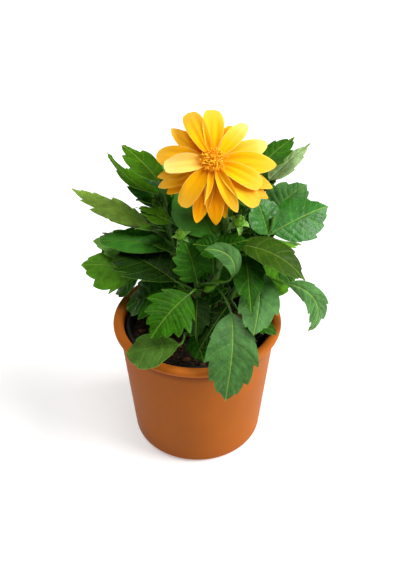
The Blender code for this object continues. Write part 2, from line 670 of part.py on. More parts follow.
def arc(centre, across, high, start, end, steps):
    """Points of an arc in a profile, between two angles in degrees, with its own width and height."""
    angles = [math.radians(between((start, end), k / steps)) for k in range(steps + 1)]
    return [(centre[0] + across * math.cos(a), centre[1] + high * math.sin(a)) for a in angles]


def make_cover_pot():
    """The cover pot: up its inner side, over the lip, down the outer side and under its rounded base."""
    lip = (POT_RIM_RADIUS - LIP_WIDTH / 2, POT_HEIGHT - LIP_HEIGHT / 2)
    wall = BODY_TOP_RADIUS - (POT_RIM_RADIUS - LIP_WIDTH)
    inner_base = BODY_BASE_RADIUS - wall
    profile = [(0, FLOOR_THICKNESS), (inner_base - FLOOR_FILLET, FLOOR_THICKNESS),
               (inner_base, FLOOR_THICKNESS + FLOOR_FILLET)]
    profile += arc(lip, LIP_WIDTH / 2, LIP_HEIGHT / 2, 180, -45, 9)
    profile.append((BODY_TOP_RADIUS, POT_HEIGHT - LIP_HEIGHT - 0.6))
    profile += arc((BODY_BASE_RADIUS - BASE_ROUNDING, BASE_ROUNDING), BASE_ROUNDING, BASE_ROUNDING, 0, -90, 3)
    profile.append((0, 0))
    return turned("cover_pot", profile, "terracotta_ceramic")


def make_nursery_pot():
    """The nursery pot: a wall of even thickness with a rolled rim and a flat floor."""
    floor = FLOOR_THICKNESS + CLEAR
    inner_top = NURSERY_TOP_RADIUS - NURSERY_WALL
    edge = NURSERY_RIM_EDGE
    profile = [(0, floor + NURSERY_WALL), (NURSERY_BASE_RADIUS - NURSERY_WALL, floor + NURSERY_WALL),
               (inner_top, NURSERY_RIM_Z - edge), (inner_top + edge, NURSERY_RIM_Z),
               (NURSERY_RIM_RADIUS - edge, NURSERY_RIM_Z), (NURSERY_RIM_RADIUS, NURSERY_RIM_Z - edge),
               (NURSERY_RIM_RADIUS, NURSERY_RIM_Z - NURSERY_RIM_DROP),
               (NURSERY_TOP_RADIUS - edge, NURSERY_RIM_Z - NURSERY_RIM_DROP),
               (NURSERY_BASE_RADIUS, floor), (0, floor)]
    return turned("nursery_pot", profile, "black_plastic", NURSERY_CENTRE)


def make_soil():
    """The potting soil, clear of the nursery pot's wall and floor all round."""
    floor = FLOOR_THICKNESS + NURSERY_WALL + 2 * CLEAR
    base = NURSERY_BASE_RADIUS - NURSERY_WALL - CLEAR
    top = base + (NURSERY_TOP_RADIUS - NURSERY_BASE_RADIUS) * (SOIL_EDGE_Z - floor) / (NURSERY_RIM_Z - floor)
    profile = [(0, SOIL_TOP_Z), (top * SOIL_LEVEL_SHARE, SOIL_TOP_Z), (top, SOIL_EDGE_Z), (base, floor),
               (0, floor)]
    return turned("potting_soil", profile, "potting_soil", NURSERY_CENTRE)


def main():
    for old in list(bpy.data.objects):
        bpy.data.objects.remove(old)
    make_cover_pot()
    make_nursery_pot()
    make_soil()
    make_masses([make_limb(name, stem) for name, stem in STEMS.items()])
    make_petals()
    make_disc()
    make_calyx()


main()
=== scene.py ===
"""The looks of a dahlia in flower, in a black nursery pot inside a terracotta-coloured cover pot.

Lengths in the tables are millimetres and angles are degrees. MM turns a length into metres.
The origin is the middle of the cover pot's underside, +Z is up and the bloom looks towards -Y.
"""
import math
import random
from collections import namedtuple
from contextlib import contextmanager
from functools import partial

import bmesh
import bpy
from bmesh.types import BMEdge, BMFace, BMVert
from mathutils import Euler, Matrix, Vector, noise


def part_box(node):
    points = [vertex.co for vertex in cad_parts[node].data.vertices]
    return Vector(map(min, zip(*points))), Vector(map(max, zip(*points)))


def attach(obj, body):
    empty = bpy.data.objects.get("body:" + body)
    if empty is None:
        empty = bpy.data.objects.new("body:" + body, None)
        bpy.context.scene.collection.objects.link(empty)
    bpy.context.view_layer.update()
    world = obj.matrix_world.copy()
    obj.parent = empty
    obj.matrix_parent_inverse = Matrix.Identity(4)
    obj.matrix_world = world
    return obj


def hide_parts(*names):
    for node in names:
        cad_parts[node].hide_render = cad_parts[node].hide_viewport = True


bl_info = {
    "name": "Potted dahlia",
    "version": (1, 0, 0),
    "blender": (4, 5, 0),
    "location": "3D View > Sidebar > Dahlia",
    "description": "Builds the looks of a potted dahlia round its packed solids",
    "category": "Object",
}

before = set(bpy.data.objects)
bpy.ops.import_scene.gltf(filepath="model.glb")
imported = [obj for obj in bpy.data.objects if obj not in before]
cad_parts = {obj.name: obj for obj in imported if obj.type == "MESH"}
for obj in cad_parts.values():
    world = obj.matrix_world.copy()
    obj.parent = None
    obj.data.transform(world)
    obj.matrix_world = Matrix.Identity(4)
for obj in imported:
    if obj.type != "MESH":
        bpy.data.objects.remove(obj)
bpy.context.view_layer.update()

MM = 0.001
BODY = "root"


def top_of(node):
    """The height of a solid's highest point, in millimetres."""
    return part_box(node)[1].z / MM


def reach_of(node):
    """Half of a solid's width along X, in millimetres."""
    low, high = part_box(node)
    return (high.x - low.x) / 2 / MM


# Cover pot: a turned ceramic shell with a rounded lip
POT_HEIGHT = top_of("cover_pot")
POT_RIM_RADIUS = reach_of("cover_pot")
LIP_WIDTH = 8.6
LIP_HEIGHT = 6.4
LIP_END = -60               # where the lip's curve ends below its widest point
LIP_STEPS = 30
LIP_GROOVE = 0.5
BODY_TOP_RADIUS = POT_RIM_RADIUS - LIP_WIDTH / 2
BODY_BASE_RADIUS = 55.9
BODY_STEPS = 24
WALL = LIP_WIDTH / 2
BASE_ROUNDING = 4.9
BASE_STEPS = 10
FLOOR_THICKNESS = 5.0
FLOOR_FILLET = 3.0
FILLET_STEPS = 6
FOOT_WIDTH = 3.0
FOOT_RECESS = 0.6
BODY_TONE = (0.82, 0.82, 0.8)  # how much darker the clay's colour is on the body than on the lip
LIP_SHADE_TONE = (0.5, 0.44, 0.42)  # and the painted shade in the band under the lip, where the lip's shadow falls

# Nursery pot: thin black plastic with a rolled rim, whose skirt hangs outside the wall
NURSERY_CENTRE = (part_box("nursery_pot")[0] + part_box("nursery_pot")[1]) / 2 / MM
NURSERY_RIM_Z = top_of("nursery_pot")
NURSERY_FLOOR_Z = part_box("nursery_pot")[0].z / MM
NURSERY_RIM_RADIUS = reach_of("nursery_pot")
NURSERY_RIM_DROP = 5.0
NURSERY_ROLL = 1.2          # height of the rim's rounded top
NURSERY_ROLL_STEPS = 12
NURSERY_SKIRT = (1.0, 1.1)  # the skirt's thickness at its edge and at its root
NURSERY_ROOT = (2.2, 2.6)   # how deep the gap behind it ends, at the skirt and at the wall
NURSERY_TOP_RADIUS = NURSERY_RIM_RADIUS - 2.0
NURSERY_BASE_RADIUS = 43.0
NURSERY_WALL = 1.4
NURSERY_CORNER = 1.0        # bevel between the wall and the floor inside
NURSERY_LEDGE_DROP = 14.0
NURSERY_LEDGE = 0.5
NURSERY_LEDGE_SLOPE = 0.6

# Potting soil: fine peat with crumbs, bark chips and fibres on it
SOIL_SEED = 11
SOIL_TOP_Z = top_of("potting_soil")
SOIL_RADIUS = reach_of("potting_soil")
SOIL_FLOOR_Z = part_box("potting_soil")[0].z / MM
SOIL_BASE_RADIUS = 41.3
SOIL_RINGS = 30
SOIL_DIP = 1.2              # how far its mean surface lies below its highest point in the middle
SOIL_FALL = 2.0             # how much lower it lies at its edge
SOIL_LUMP = 14.0            # size of the larger lumps
SOIL_HEIGHT = 2.2           # and their height
SOIL_FINE = (0.5, 3)        # the finer lumps' height and closeness, as shares of the larger ones'
SOIL_FLAT = 8               # the power by which the lumps die away at the edge
SOIL_MARGIN = 2.5           # width beside the wall that holds no crumbs
CRUMB_SIZE = (0.45, 1.3)
CRUMB_SHAPE = (1, 0.8, 0.7)
CHIP_SIZE = (1.4, 4.4)
CHIP_WIDTH = (0.5, 0.9)     # as a share of its length
CHIP_HEIGHT = (0.25, 0.5)
LUMP_TILT = 0.6             # the most that a crumb or chip leans, in radians
FIBRE_REACH = (3, 9)
FIBRE_ARCH = (0.6, 2.0)
FIBRE_LIFT = 0.3
FIBRE_RADII = (0.12, 0.2, 0.22, 0.18, 0.1)

# Stems: the points that each one runs through, its radius at the foot and at the tip, and the
# height up to which it is a bare limb. The main stem carries the bloom.
FOOT_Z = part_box("main_stem")[0].z / MM
BLOOM_STEM = "main"
Stem = namedtuple("Stem", "points foot tip bare")
STEMS = {
    "main": Stem(((5, 0, FOOT_Z), (9, -1, 140), (19, -3, 178), (24, -3, 192), (21, 11, 210),
                  (15, 28, 223), (12, 35, 231), (12, 33.6, 234.5), (12, 27.3, 241.2)),
                 4.0, 2.4, None),
    "front": Stem(((-1, -7, FOOT_Z), (0, -5, 146), (-2, -4, 172), (-7, 1, 186)), 3.2, 1.4, 134),
    "left": Stem(((-7, 1, FOOT_Z), (-11, 8, 140), (-13, 15, 172), (-13, 21, 196)), 2.8, 1.4, 128),
    "back_left": Stem(((-5, 9, FOOT_Z), (-17, 22, 150), (-24, 32, 190), (-27, 38, 222)),
                      2.8, 1.3, 140),
    "right": Stem(((13, 1, FOOT_Z), (30, 5, 140), (47, 11, 172), (57, 14, 192), (60, 17, 204)),
                  2.8, 1.3, 128),
    "back_right": Stem(((9, 9, FOOT_Z), (25, 24, 150), (38, 34, 195), (44, 38, 226)),
                       2.8, 1.3, 140),
    "back": Stem(((1, 11, FOOT_Z), (0, 34, 150), (2, 48, 196)), 2.6, 1.3, 132),
    "low_front": Stem(((-5, -11, FOOT_Z), (-8, -22, 117), (-10, -34, 127)), 1.8, 1.2, 110),
}
STEM_STEPS = 48
STEM_SIDES = 18
STEM_RIDGES = 6
STEM_RIDGE_DEPTH = 0.06
STEM_SEAT = 2.0             # how far a stem runs down into the soil
STEM_FLARE = (0.15, 4)      # how much it widens at its foot, and over what height
JOINT_SWELL = 0.35          # how much a stem swells where a leaf joins it
JOINT_LENGTH = 3.0
JOINT_LIMIT = 1.2

# A leaf's outline: how far its veins run forward, the two powers of its curve and the depth of a
# tooth
VEIN_SWEEP = 0.6
SWEEP_POWER = 1.2
OUTLINE_RISE = 0.85
TOOTH_DEPTH = 0.16
TOOTH_TIP = 5 / 6           # where in its span a tooth is highest, and its vein ends
TOOTH_INSIDE = 0.6          # the share of a tooth's height that is cut into the plain outline
TOOTH_HOOK = 0.34           # how far a tooth points forward, as a share of its span
HOOK_FADE = 1.5             # above 1, the hooks shrink over less than the whole blade
HOOK_POWER = 3              # gathers the hooks at the margin
TOOTH_ROUND = 0.8           # below 1, the edge of a tooth bulges on its way to the point
TOOTHED = (0.08, 0.84)
TOOTH_FADE = 0.08
BLADE_FOOT = 1.2
BLADE_POINT = 0.5
TIP_SLOPE = 0.24            # the least half-width of a tip, as a share of the way to its point
TIP_FROM = 0.7
MIDRIB_STEPS = 24
COLUMN_POWER = 1.5          # gathers a blade's columns at the midrib

# A leaf's relief, in millimetres
QUILT = 0.7
QUILT_SLOPE = 5             # how steeply the quilting rises beside the midrib
QUILT_START = 0.05          # how far it is grown at the blade's base already
PUCKER = 0.5
PUCKER_SIZE = 4.0
PUCKER_FINE = (0.6, 2.3)    # the finer puckers' height and closeness, as shares of the larger ones'
PUCKER_CLEAR = 2            # distance from the midrib within which they die away
WAVE_EVERY = 0.5            # waves of the margin to a tooth
WAVE_START = (0.2, 0.6)     # where its wave starts on the left and on the right
RIB_GROOVE = 0.45
RIB_WIDTH = 0.9
RIB_BELOW = 0.35
RIB_END = 0.85
RIB_STEPS = 12

PETIOLE_FOOT = 1.1
PETIOLE_TIP = 0.75
PETIOLE_END = 0.22
PETIOLE_FLARE = (0.6, 8)    # how much it widens at its foot, and how fast that fades
PETIOLE_ARCH = 0.5
PETIOLE_TURN = 0.8          # how widely a stalk turns into its midrib
PETIOLE_STEPS = 10
PETIOLE_SIDES = 8

# A leaf: its mass, the height on its stem where its petiole starts, the place of the blade's base,
# the heading and pitch of the middle of its midrib, its length and width, its bend along, roll
# about, fold across and swing sideways of the midrib, its teeth a side, and its stem where that
# isn't the mass's own
Leaf = namedtuple(
    "Leaf", "mass height base heading pitch length width bend roll fold swing teeth stem",
    defaults=(-20, 0, 4, 0, 4, None))

# How a leaf looks: its kind of green, how much it swells between veins, how deep its teeth are and
# how much its margin waves, each of the three as a share of the usual, then how tapered its tip is
Look = namedtuple("Look", "kind quilt bite wave tip")

# The leaves that the front of the plant shows
LEAVES = {
    "upper_left": (Leaf("back_left", 218, (-29, 30, 228), 129, 13, 53, 30, -25, -4, 0),
                   Look("bright", 0.5, 1.2, 0.8, 1.5)),
    "upper_left_edge": (Leaf("back_left", 204, (-31, 39, 212), 142, 20, 60, 28, 55, -20, 6),
                        Look("bright", 0.3, 0.7, 0.6, 1.6)),
    "left_long": (Leaf("left", 168, (-40, 37, 182), 146, 7, 82, 34, -10, -6, -6, 0, 5),
                  Look("olive", 0.6, 1.6, 0.6, 1.3)),
    "left_small": (Leaf("left", 192, (-20, 18, 199), 171, 17, 27, 24, -20, 0, 0),
                   Look("bright", 0.7, 1.0, 0.6, 1.3)),
    "left_smooth": (Leaf("left", 160, (-20, 20, 172), 164, -4, 65, 34, -25, 8, 6),
                    Look("smooth", 0.3, 0.2, 0.5, 0.95)),
    "left_low": (Leaf("left", 136, (-50, 23, 148), 164, -5, 52, 50, -25, 30, -12),
                 Look("young", 0.6, 1.4, 0.9, 1.3)),
    # left_pale lies in the shade of left_smooth and takes the pale green as painted light
    "left_pale": (Leaf("back_left", 150, (-42, 38, 155), 164, 4, 50, 34, -24, 18),
                  Look("pale", 0.4, 0.7, 0.6, 1.2)),
    "left_lobe": (Leaf("left", 133, (-49, 28, 138), 178, -42, 29, 26, -20, 14, 0, 0, 3),
                  Look("mid", 0.4, 1.1, 0.7, 1.1)),
    # front_left, front_inner and right_inner take the deep green as painted shade
    "front_left": (Leaf("front", 146, (-17, -8, 160), 143, 6, 58, 52, -20, 8, 6, 0, 5),
                   Look("deep", 0.6, 1.4, 0.9, 0.6)),
    "front_left_lobe": (Leaf("front", 144, (-19, -3, 151), 176, -33, 48, 46, -25, 12, 0),
                        Look("dark", 0.6, 1.5, 0.8, 1.0)),
    "front_veined": (Leaf("front", 148, (-6, -30, 164), 220, -32, 46, 44, -35, 22, -6, 0, 6),
                     Look("mid", 0.5, 2.0, 0.7, 1.25)),
    "front_hanging": (Leaf("front", 154, (26, -37, 151), 262, -42, 71, 43, -60, -2, 0, -32, 5,
                           stem="main"),
                      Look("grey", 0.6, 1.0, 0.6, 1.0)),
    "front_curled": (Leaf("front", 152, (27, -25, 176), 180, 50, 42, 17, -130, 60, 0, 0, 3),
                     Look("grey", 0.4, 0.4, 0.5, 1.0)),
    "front_upright": (Leaf("front", 150, (0, -12, 163), 138, 66, 40, 42, -20, 6, 8, 0, 6),
                      Look("dark", 0.8, 2.0, 0.7, 1.2)),
    "front_inner": (Leaf("front", 142, (0, -9, 144), 268, -22, 37, 26),
                    Look("deep", 0.5, 1.0, 0.5, 1.3)),
    "right_inner": (Leaf("front", 140, (25, -14, 140), 236, -22, 46, 28),
                    Look("deep", 0.5, 1.0, 0.5, 1.3)),
    "centre_right": (Leaf("centre_right", 190, (33, -7, 194), 343, -24, 60, 38, -60, -4,
                          stem="main"),
                     Look("bronze", 0.4, 0.7, 0.6, 1.15)),
    # centre_left lies in the bloom's shade and takes the lighter smooth green as painted light
    "centre_left": (Leaf("centre_left", 190, (15, -3, 197), 121, 11, 64, 44, -20, 18, stem="main"),
                    Look("smooth", 0.2, 0.2, 0.6, 1.1)),
    "centre_front": (Leaf("centre_front", 176, (38, -1, 180), 273, -21, 54, 29, -20, 0, 8,
                          stem="main"),
                     Look("dark", 0.5, 0.8, 0.4, 1.7)),
    "right_broad": (Leaf("right", 188, (60, 14, 191), 33, 6, 57, 44, -15, -30, -10, 0, 5),
                    Look("bluish", 0.5, 0.7, 0.5, 1.05)),
    "right_upright": (Leaf("right", 188, (56, 12, 191), 132, 60, 34, 36, -20, 0, 6),
                      Look("bluish", 1.0, 0.4, 0.4, 1.2)),
    "right_front": (Leaf("right", 160, (49, -4, 166), 263, -18, 60, 35, -20, -4, 0, -20),
                    Look("light", 0.4, 0.8, 0.5, 0.95)),
    "right_arching": (Leaf("right", 158, (71, -12, 160), 355, -67, 64, 21, -125, -55, 0, 0, 5),
                      Look("light", 0.5, 1.3, 0.6, 0.95)),
    "right_tiny": (Leaf("right", 166, (67, 4, 164), 314, -41, 16, 16, -20, 0, 4, 0, 3),
                   Look("dark", 0.3, 0.8, 0.4, 1.3)),
    "right_low": (Leaf("right", 132, (39, -20, 132), 352, -28, 30, 24, -20, 0, 4, 0, 3),
                  Look("dark", 0.4, 1.2, 0.5, 1.3)),
    "inner_right": (Leaf("right", 134, (47, 5, 144), 8, 12, 38, 33, -20, -34),
                    Look("young", 0.4, 0.6, 0.6, 1.3)),
    "inner_back": (Leaf("back", 135, (5, 21, 138), 78, 58, 46, 36),
                   Look("dark", 0.4, 1.0, 0.5, 1.3)),
    "back_right_broad": (Leaf("back_right", 180, (57, 41, 188), 35, 23, 46, 48, -20, -10, -6, 0, 5),
                         Look("light", 0.6, 1.1, 0.8, 1.1)),
    "upper_right": (Leaf("back_right", 222, (48, 40, 234), 41, 19, 43, 27, -20, -4, -4),
                    Look("mid", 0.5, 1.0, 0.6, 1.35)),
    "upper_right_edge": (Leaf("back_right", 212, (58, 44, 222), 35, 26, 46, 26, -10, 6, 0),
                         Look("faded", 0.3, 0.8, 0.5, 1.6)),
    "rim_left": (Leaf("low_front", 124, (-14, -52, 132), 184, -11, 42, 41, -22, 4, -8, 0, 3),
                 Look("dull", 0.3, 0.5, 0.7, 0.7)),
    "rim_front": (Leaf("low_front", 118, (-1, -28, 122), 285, -22, 26, 24, -10, 0, 4, 0, 3),
                  Look("dark", 0.4, 1.0, 0.5, 1.2)),
}

# Small shaded leaves inside the plant and low at its sides, on short stalks
INNER_LOOK = Look("dark", 0.8, 1.0, 0.6, 1.4)
INNER = (
    Leaf("back_right", 164, (44, 31, 166), 92, 68, 36, 30),
    Leaf("right", 148, (41, 15, 152), 78, 64, 32, 26),
    Leaf("right", 136, (26, 10, 142), 104, 60, 34, 28),
    Leaf("right", 132, (36, 7, 136), 84, 58, 28, 26),
    Leaf("left", 130, (-17, 14, 134), 104, 58, 32, 28),
    Leaf("back_left", 186, (-26, 37, 189), 92, 60, 26, 22),
    Leaf("back", 150, (3, 36, 152), 88, 66, 36, 30),
    Leaf("centre_left", 182, (20, -8, 190), 176, 10, 24, 21, -20, 46, stem="main"),
    Leaf("centre_front", 184, (15, -8, 190), 4, 18, 26, 20, -20, -48, stem="main"),
    Leaf("centre_front", 160, (13, -7, 166), 100, 66, 30, 26, stem="main"),
    Leaf("right", 132, (44, 16, 136), 14, -4, 40, 30, -40),
    Leaf("back_right", 142, (42, 36, 143), 38, -6, 42, 32, -40),
    Leaf("back", 138, (8, 52, 138), 72, -8, 40, 32, -40),
    Leaf("back_right", 184, (46, 34, 188), 70, 62, 30, 25),
)

# Leaves of the hidden side grow in pairs, each pair a quarter turn from the last. A row gives the
# mass, the heights of the lowest and highest pair, the number of pairs, the sector's middle heading
# and half-width, the petiole's length, and the blade's length at the lowest and highest pair.
Pairs = namedtuple("Pairs", "mass low high count middle spread petiole lower upper seed")
HIDDEN_SIDE = (
    Pairs("back", 136, 192, 4, 90, 80, 22, 66, 46, 592),
    Pairs("back_left", 146, 178, 3, 106, 45, 24, 68, 52, 433),
    Pairs("back_right", 146, 190, 3, 60, 45, 24, 68, 50, 40),
)
PAIR_START = 45
PAIR_TURN = 90
PAIR_WIDTH_RATIO = 0.62
PAIR_PITCH = (-6, 18)
PAIR_RISE = (30, 50)
PAIR_BEND = -34
PAIR_TEETH = 5
PAIR_SPREAD = (0.3, 1.0)    # where in its sector a leaf goes that would fall outside it
HEADING_SCATTER = 16
PITCH_SCATTER = 13
ROLL_SCATTER = 20
FOLD_SCATTER = 6
SWING_SCATTER = 14

# How the hidden side's leaves look: the kinds of green, and the limits of the other shares
HIDDEN_KINDS = ("bright", "mid", "bluish", "light", "mid", "bright")
HIDDEN_LOOK = ((0.3, 0.9), (0.8, 1.3), (0.4, 0.9), (1.2, 1.5))

# Short side shoots with pairs of smaller leaves, in the axils up each side stem
SHOOT_SEED = 7
SHOOT_START = 2             # how far above a stem's bare limb the first shoots are
SHOOT_EVERY = 7.5
SHOOT_TURN = 90
SHOOT_LENGTH = (8.0, 16.0)
SHOOT_PITCH = (15, 60)
SHOOT_SCATTER = 20
SHOOT_RADIUS = 0.7
SHOOT_LEAF = (15.0, 29.0)
SHOOT_LEAF_FACTOR = (1.1, 0.3)  # on its length: the factor low on the stem, and its fall
SHOOT_LEAF_WIDTH = 0.6
SHOOT_LEAF_TWIST = 70
SHOOT_LEAF_PITCH = (-10, 35)
SHOOT_LEAF_SCATTER = 15
SHOOT_LEAF_BEND = -30
SHOOT_LEAF_FOLD = 8
SHOOT_LEAF_TEETH = 3
SHOOT_KINDS = ("dark", "dark", "mid", "mid", "bright", "young")
SHOOT_LOOK = (0.6, 1.0, 0.5, 1.35)
SHOOT_FINENESS = 0.5        # a shoot's leaf has this share of a leaf's faces each way
SHOOT_THICKNESS = 0.45      # and its midrib this share of the thickness
SHOOT_MARGIN = 3.0
SHOOT_TOP = 20.0            # the top of a stem, below its tip, that has no shoots
FRONT_MASSES = ("front", "low_front", "left", "right")

# Buds on stalks: where the stalk starts, the bud's centre, its radius and its heading, then the
# length of its outer bracts, how far they droop, and its kind of green
Bud = namedtuple("Bud", "start centre radius heading bract droop kind")
BUDS = (
    Bud((-6, 0, 184), (-13, -1, 199.5), 4.2, 240, 7.0, 30, "young"),
    Bud((-25, 34.4, 198), (-32, 36, 205.8), 4.0, 200, 6.0, 10, "dark"),
    Bud((31.8, 0.2, 179.3), (32, -1, 212), 4.6, 280, 10.0, 88, "young"),
)
BUD_STALK = (1.0, 0.9)
BUD_STALK_STEPS = 14
BUD_PITCH = 60
BUD_SHAPE = (0.74, 0.95)    # the body's width and height, as shares of the bud's radius
BUD_FOOT = 0.85             # how far below its centre its stalk ends, as a share of its radius
BUD_FACES = (20, 12)        # around and up
BUD_SCALES = 9
BUD_SCALE_FACES = (8, 12)   # across and along
BUD_SCALE_LIFT = 0.25
BUD_SCALE_SPAN = (160, 8)   # where a scale starts and ends, down from the bud's top
BUD_SCALE_WIDTH = (44, 3)   # half its width in degrees round the bud, and what is added to it
BUD_SCALE_OUTLINE = (0.15, 0.5, 0.9)    # where it starts on its outline, and the curve's powers
BUD_SCALE_RIDGE = (0.35, 0.16)  # its keel's height, and its width as a share of the scale's
BUD_SCALE_TIP = 0.8         # how far its tip stands off
BUD_SCALE_THICKNESS = 0.6   # as a share of a leaf's
BUD_BRACTS = 5
BUD_BRACT_FACES = (8, 14)
BUD_BRACT_START = 20
BUD_BRACT_ROOT = 0.35       # how far out it starts, as a share of the bud's radius
BUD_BRACT_PITCH = 25
BUD_BRACT_WIDTH = (0.22, 0.15)  # half its width as a share of its length, and what is added
BUD_BRACT_OUTLINE = (0.12, 0.8, 1.3)
BUD_BRACT_CUP = 0.35
BUD_BRACT_THICKNESS = 0.8

# Bloom: the middle of the disc's face, the tilt of its axis above the level, and depths behind the
# face
BLOOM_FACE = (12.0, 14.0, 256.0)
BLOOM_TILT = 48.0
RECEPTACLE_FRONT = 3.0
RECEPTACLE_BACK = 11.0
CALYX_LENGTH = 8.0

# Disc: a dome of florets, each a little tube that curls as it rises
DISC_SEED = 5
DISC_RADIUS = 7.6
DISC_HEIGHT = 6.0
DISC_DOME = 0.6             # the dome's height as a share of the disc's
DISC_FACES = (24, 12)
GOLDEN_ANGLE = 137.508
FLORET_ROOT = 0.9           # the height of its root as a share of the dome's
FLORET_LEAN = (0.9, 1.25, 0.5)  # outwards at the edge, forwards in the middle, and its fall
FLORET_SIDEWAYS = (-1, 1)
FLORET_OUTWARDS = (-0.9, 0.7)
FLORET_LENGTH = (2.8, 5.0)
FLORET_CURL = (0.55, 2.5)   # how far it curls as a share of its length, and the power of that
FLORET_NOD = (0.35, 4)      # how far its tip sinks back, and the power of that
FLORET_LINE = ((0, 0.5), (0.3, 0.46), (0.55, 0.5), (0.75, 0.62), (0.9, 0.55), (1, 0.28))
FLORET_SIDES = 8
GOLD_SHARE = 0.4            # the share of florets that are gold

# Calyx: the cup, as depths behind the face and radii, and two rings of bracts. A ring's row gives
# its turn from the first, a bract's length and width, the radius and depth of its root, its tilt
# and bend, its rows of faces, and the kinds of green of its two sides.
CUP = ((7.5, 4.2), (9, 5.2), (RECEPTACLE_BACK, 6.4), (12.5, 6.6), (14, 5.6), (17, 3.9),
       (RECEPTACLE_BACK + CALYX_LENGTH, 2.7))
CUP_SIDES = 32
CUP_RIDGES = 8
CUP_RIDGE_DEPTH = 0.03
Ring = namedtuple("Ring", "turn length width radius depth tilt bend rows upper lower")
BRACT_RINGS = (
    Ring(0, 16, 8, 3.5, RECEPTACLE_BACK + 3.3, -18, -12, 16, "bright", "underside"),
    Ring(26, 12, 8, 5.0, RECEPTACLE_BACK + 1.5, -26, 8, 14, "pale", "young"),
)
BRACTS = 7
BRACT_START = 15
BRACT_FOOT = 2.4
BRACT_POINT = 0.6
BRACT_OUTLINE = (0.75, 0.5)
BRACT_CUP = 0.1
BRACT_COLUMNS = 10

# Petals: the angle round the face from the right, length, width, row from the front, tilt and bend,
# then the kind of yellow, how deep the petal cups, how pointed its tip is and how far it twists
# Painted light and shade in the kinds of yellow: amber is a shaded copy on petals that lie behind
# others or low in the bloom; pale is partly painted light, making the petal at 187 degrees, which
# faces up into the light, lighter; the tipped kind's pale tips are partly their own colour and
# partly painted light where the two upper right petals curl into the light
PETAL_KINDS = ("yellow", "pale", "amber", "tipped")
PETAL_ROOT_RADIUS = 5.0
PETAL_FRONT_DEPTH = 4.0
PETAL_ROW_DEPTH = 2.0
PETAL_RISE = 0.6
PETAL_FALL = (0.31, 0.68)   # the outline's power at a round tip and at a pointed one
PETAL_FOOT = 3.2
PETAL_POINT = 0.8
PETAL_CUP_POWER = 1.6
PETAL_CUP_START = 0.12      # how far the cupping is grown at the petal's root already
PETAL_RIDGE = 0.38
PETAL_RIDGES = 2.6
PETAL_RIDGE_START = 0.1
PETAL_FLUTTER = 0.5
PETAL_WAVES = 1.3
PETAL_WAVE_TURN = 50        # degrees round the face that shift the flutter by a wave
Petal = namedtuple("Petal", "angle length width row tilt bend kind cup point twist")
PETALS = (
    Petal(89, 43, 17, 1, -6, -16, "yellow", 0.12, 0.0, -12),
    Petal(113, 44, 16, 0, -7, -16, "yellow", 0.08, 0.0, 5),
    Petal(134, 42, 15, 3, -10, -8, "yellow", 0.06, 1.0, -8),
    Petal(166, 41, 18, 2, -8, -14, "yellow", 0.08, 0.4, 4),
    Petal(186, 41, 12, 3, -18, -10, "yellow", 0.05, 1.0, 4),
    Petal(187, 32, 18, 0, 12, -22, "pale", 0.14, 0.0, -30),
    Petal(197, 42, 12, 3, -18, -10, "yellow", 0.05, 1.0, 6),
    Petal(207, 38, 12, 3, -20, -10, "amber", 0.05, 1.0, 0),
    Petal(234, 36, 15, 0, 2, -26, "yellow", 0.20, 0.15, -4),
    Petal(254, 42, 14, 1, -8, -14, "amber", 0.12, 0.9, 10),
    Petal(259, 29, 5, 0, 4, -10, "yellow", 0.50, 1.0, 70),
    Petal(273, 42, 15, 1, -8, -14, "amber", 0.10, 0.9, -8),
    Petal(284, 37, 11, 3, -18, -10, "amber", 0.05, 1.0, 0),
    Petal(296, 37, 11, 0, -4, -16, "yellow", 0.24, 0.8, -12),
    Petal(318, 42, 17, 1, -2, -20, "yellow", 0.14, 0.2, 14),
    Petal(336, 36, 16, 0, 0, -22, "yellow", 0.10, 0.1, 12),
    Petal(333, 46, 12, 3, -16, -10, "yellow", 0.05, 1.0, 0),
    Petal(343, 46, 13, 2, -14, -12, "yellow", 0.06, 1.0, 0),
    Petal(2, 45, 18, 1, -6, -14, "yellow", 0.08, 0.9, 0),
    Petal(25, 43, 16, 2, -8, -12, "tipped", 0.07, 0.7, -6),
    Petal(53, 39, 13, 1, -6, -14, "tipped", 0.12, 0.3, -8),
    Petal(67, 37, 12, 3, -18, -8, "amber", 0.05, 0.5, 0),
)

# The photograph's camera, fitted to the pot's outline
CAMERA_PLACE = (0.0, -517.12, 539.75)
CAMERA_PITCH = 37.0
CAMERA_YAW = 0.25
SENSOR = 36.0

# Lights, by their heading and pitch: one from the right, one from above and behind to the left
KEY_WAY = (-7.0, 37.0)
TOP_WAY = (150.0, 76.0)

PATTERN = "surface"         # the UV map that patterns follow
BAKE = "OFBake"             # the UV map that gives each sheet its own patch
PATCH_MARGIN = 0.05
RIM_SPREAD = 0.03           # how far the rim's patch runs on past the lower side's
SHARP_ANGLE = 50


def linear(colour):
    """A colour given as sRGB hex, as the linear red, green and blue that a shader takes."""
    channels = [int(colour[i:i + 2], 16) / 255 for i in (0, 2, 4)]
    return tuple(c / 12.92 if c <= 0.04045 else ((c + 0.055) / 1.055) ** 2.4 for c in channels)


def swatch(name, description, colour):
    """A colour property with its default as sRGB hex."""
    return bpy.props.FloatVectorProperty(name=name, description=description, subtype="COLOR",
                                         size=3, min=0, max=1, default=linear(colour))


def length(name, description, millimetres):
    """A length property with its default in millimetres."""
    return bpy.props.FloatProperty(name=name, description=description, subtype="DISTANCE",
                                   unit="LENGTH", min=0, precision=5, default=millimetres * MM)


def count(name, description, number, least):
    """A property that counts things."""
    return bpy.props.IntProperty(name=name, description=description, default=number, min=least)


def strength(name, description, value):
    """A property for how strong a light is."""
    return bpy.props.FloatProperty(name=name, description=description, default=value, min=0)


class PotSettings(bpy.types.PropertyGroup):
    """Sizes and colours of the two pots."""

    clay: swatch("Clay", "Colour of the cover pot's body", "B3611D")
    speck: swatch("Specks", "Colour of the darker specks in the clay", "8F4F22")
    plastic: swatch("Plastic", "Colour of the nursery pot", "0E0E0F")
    turned_steps: count("Steps", "Faces round a turned pot", 128, 24)


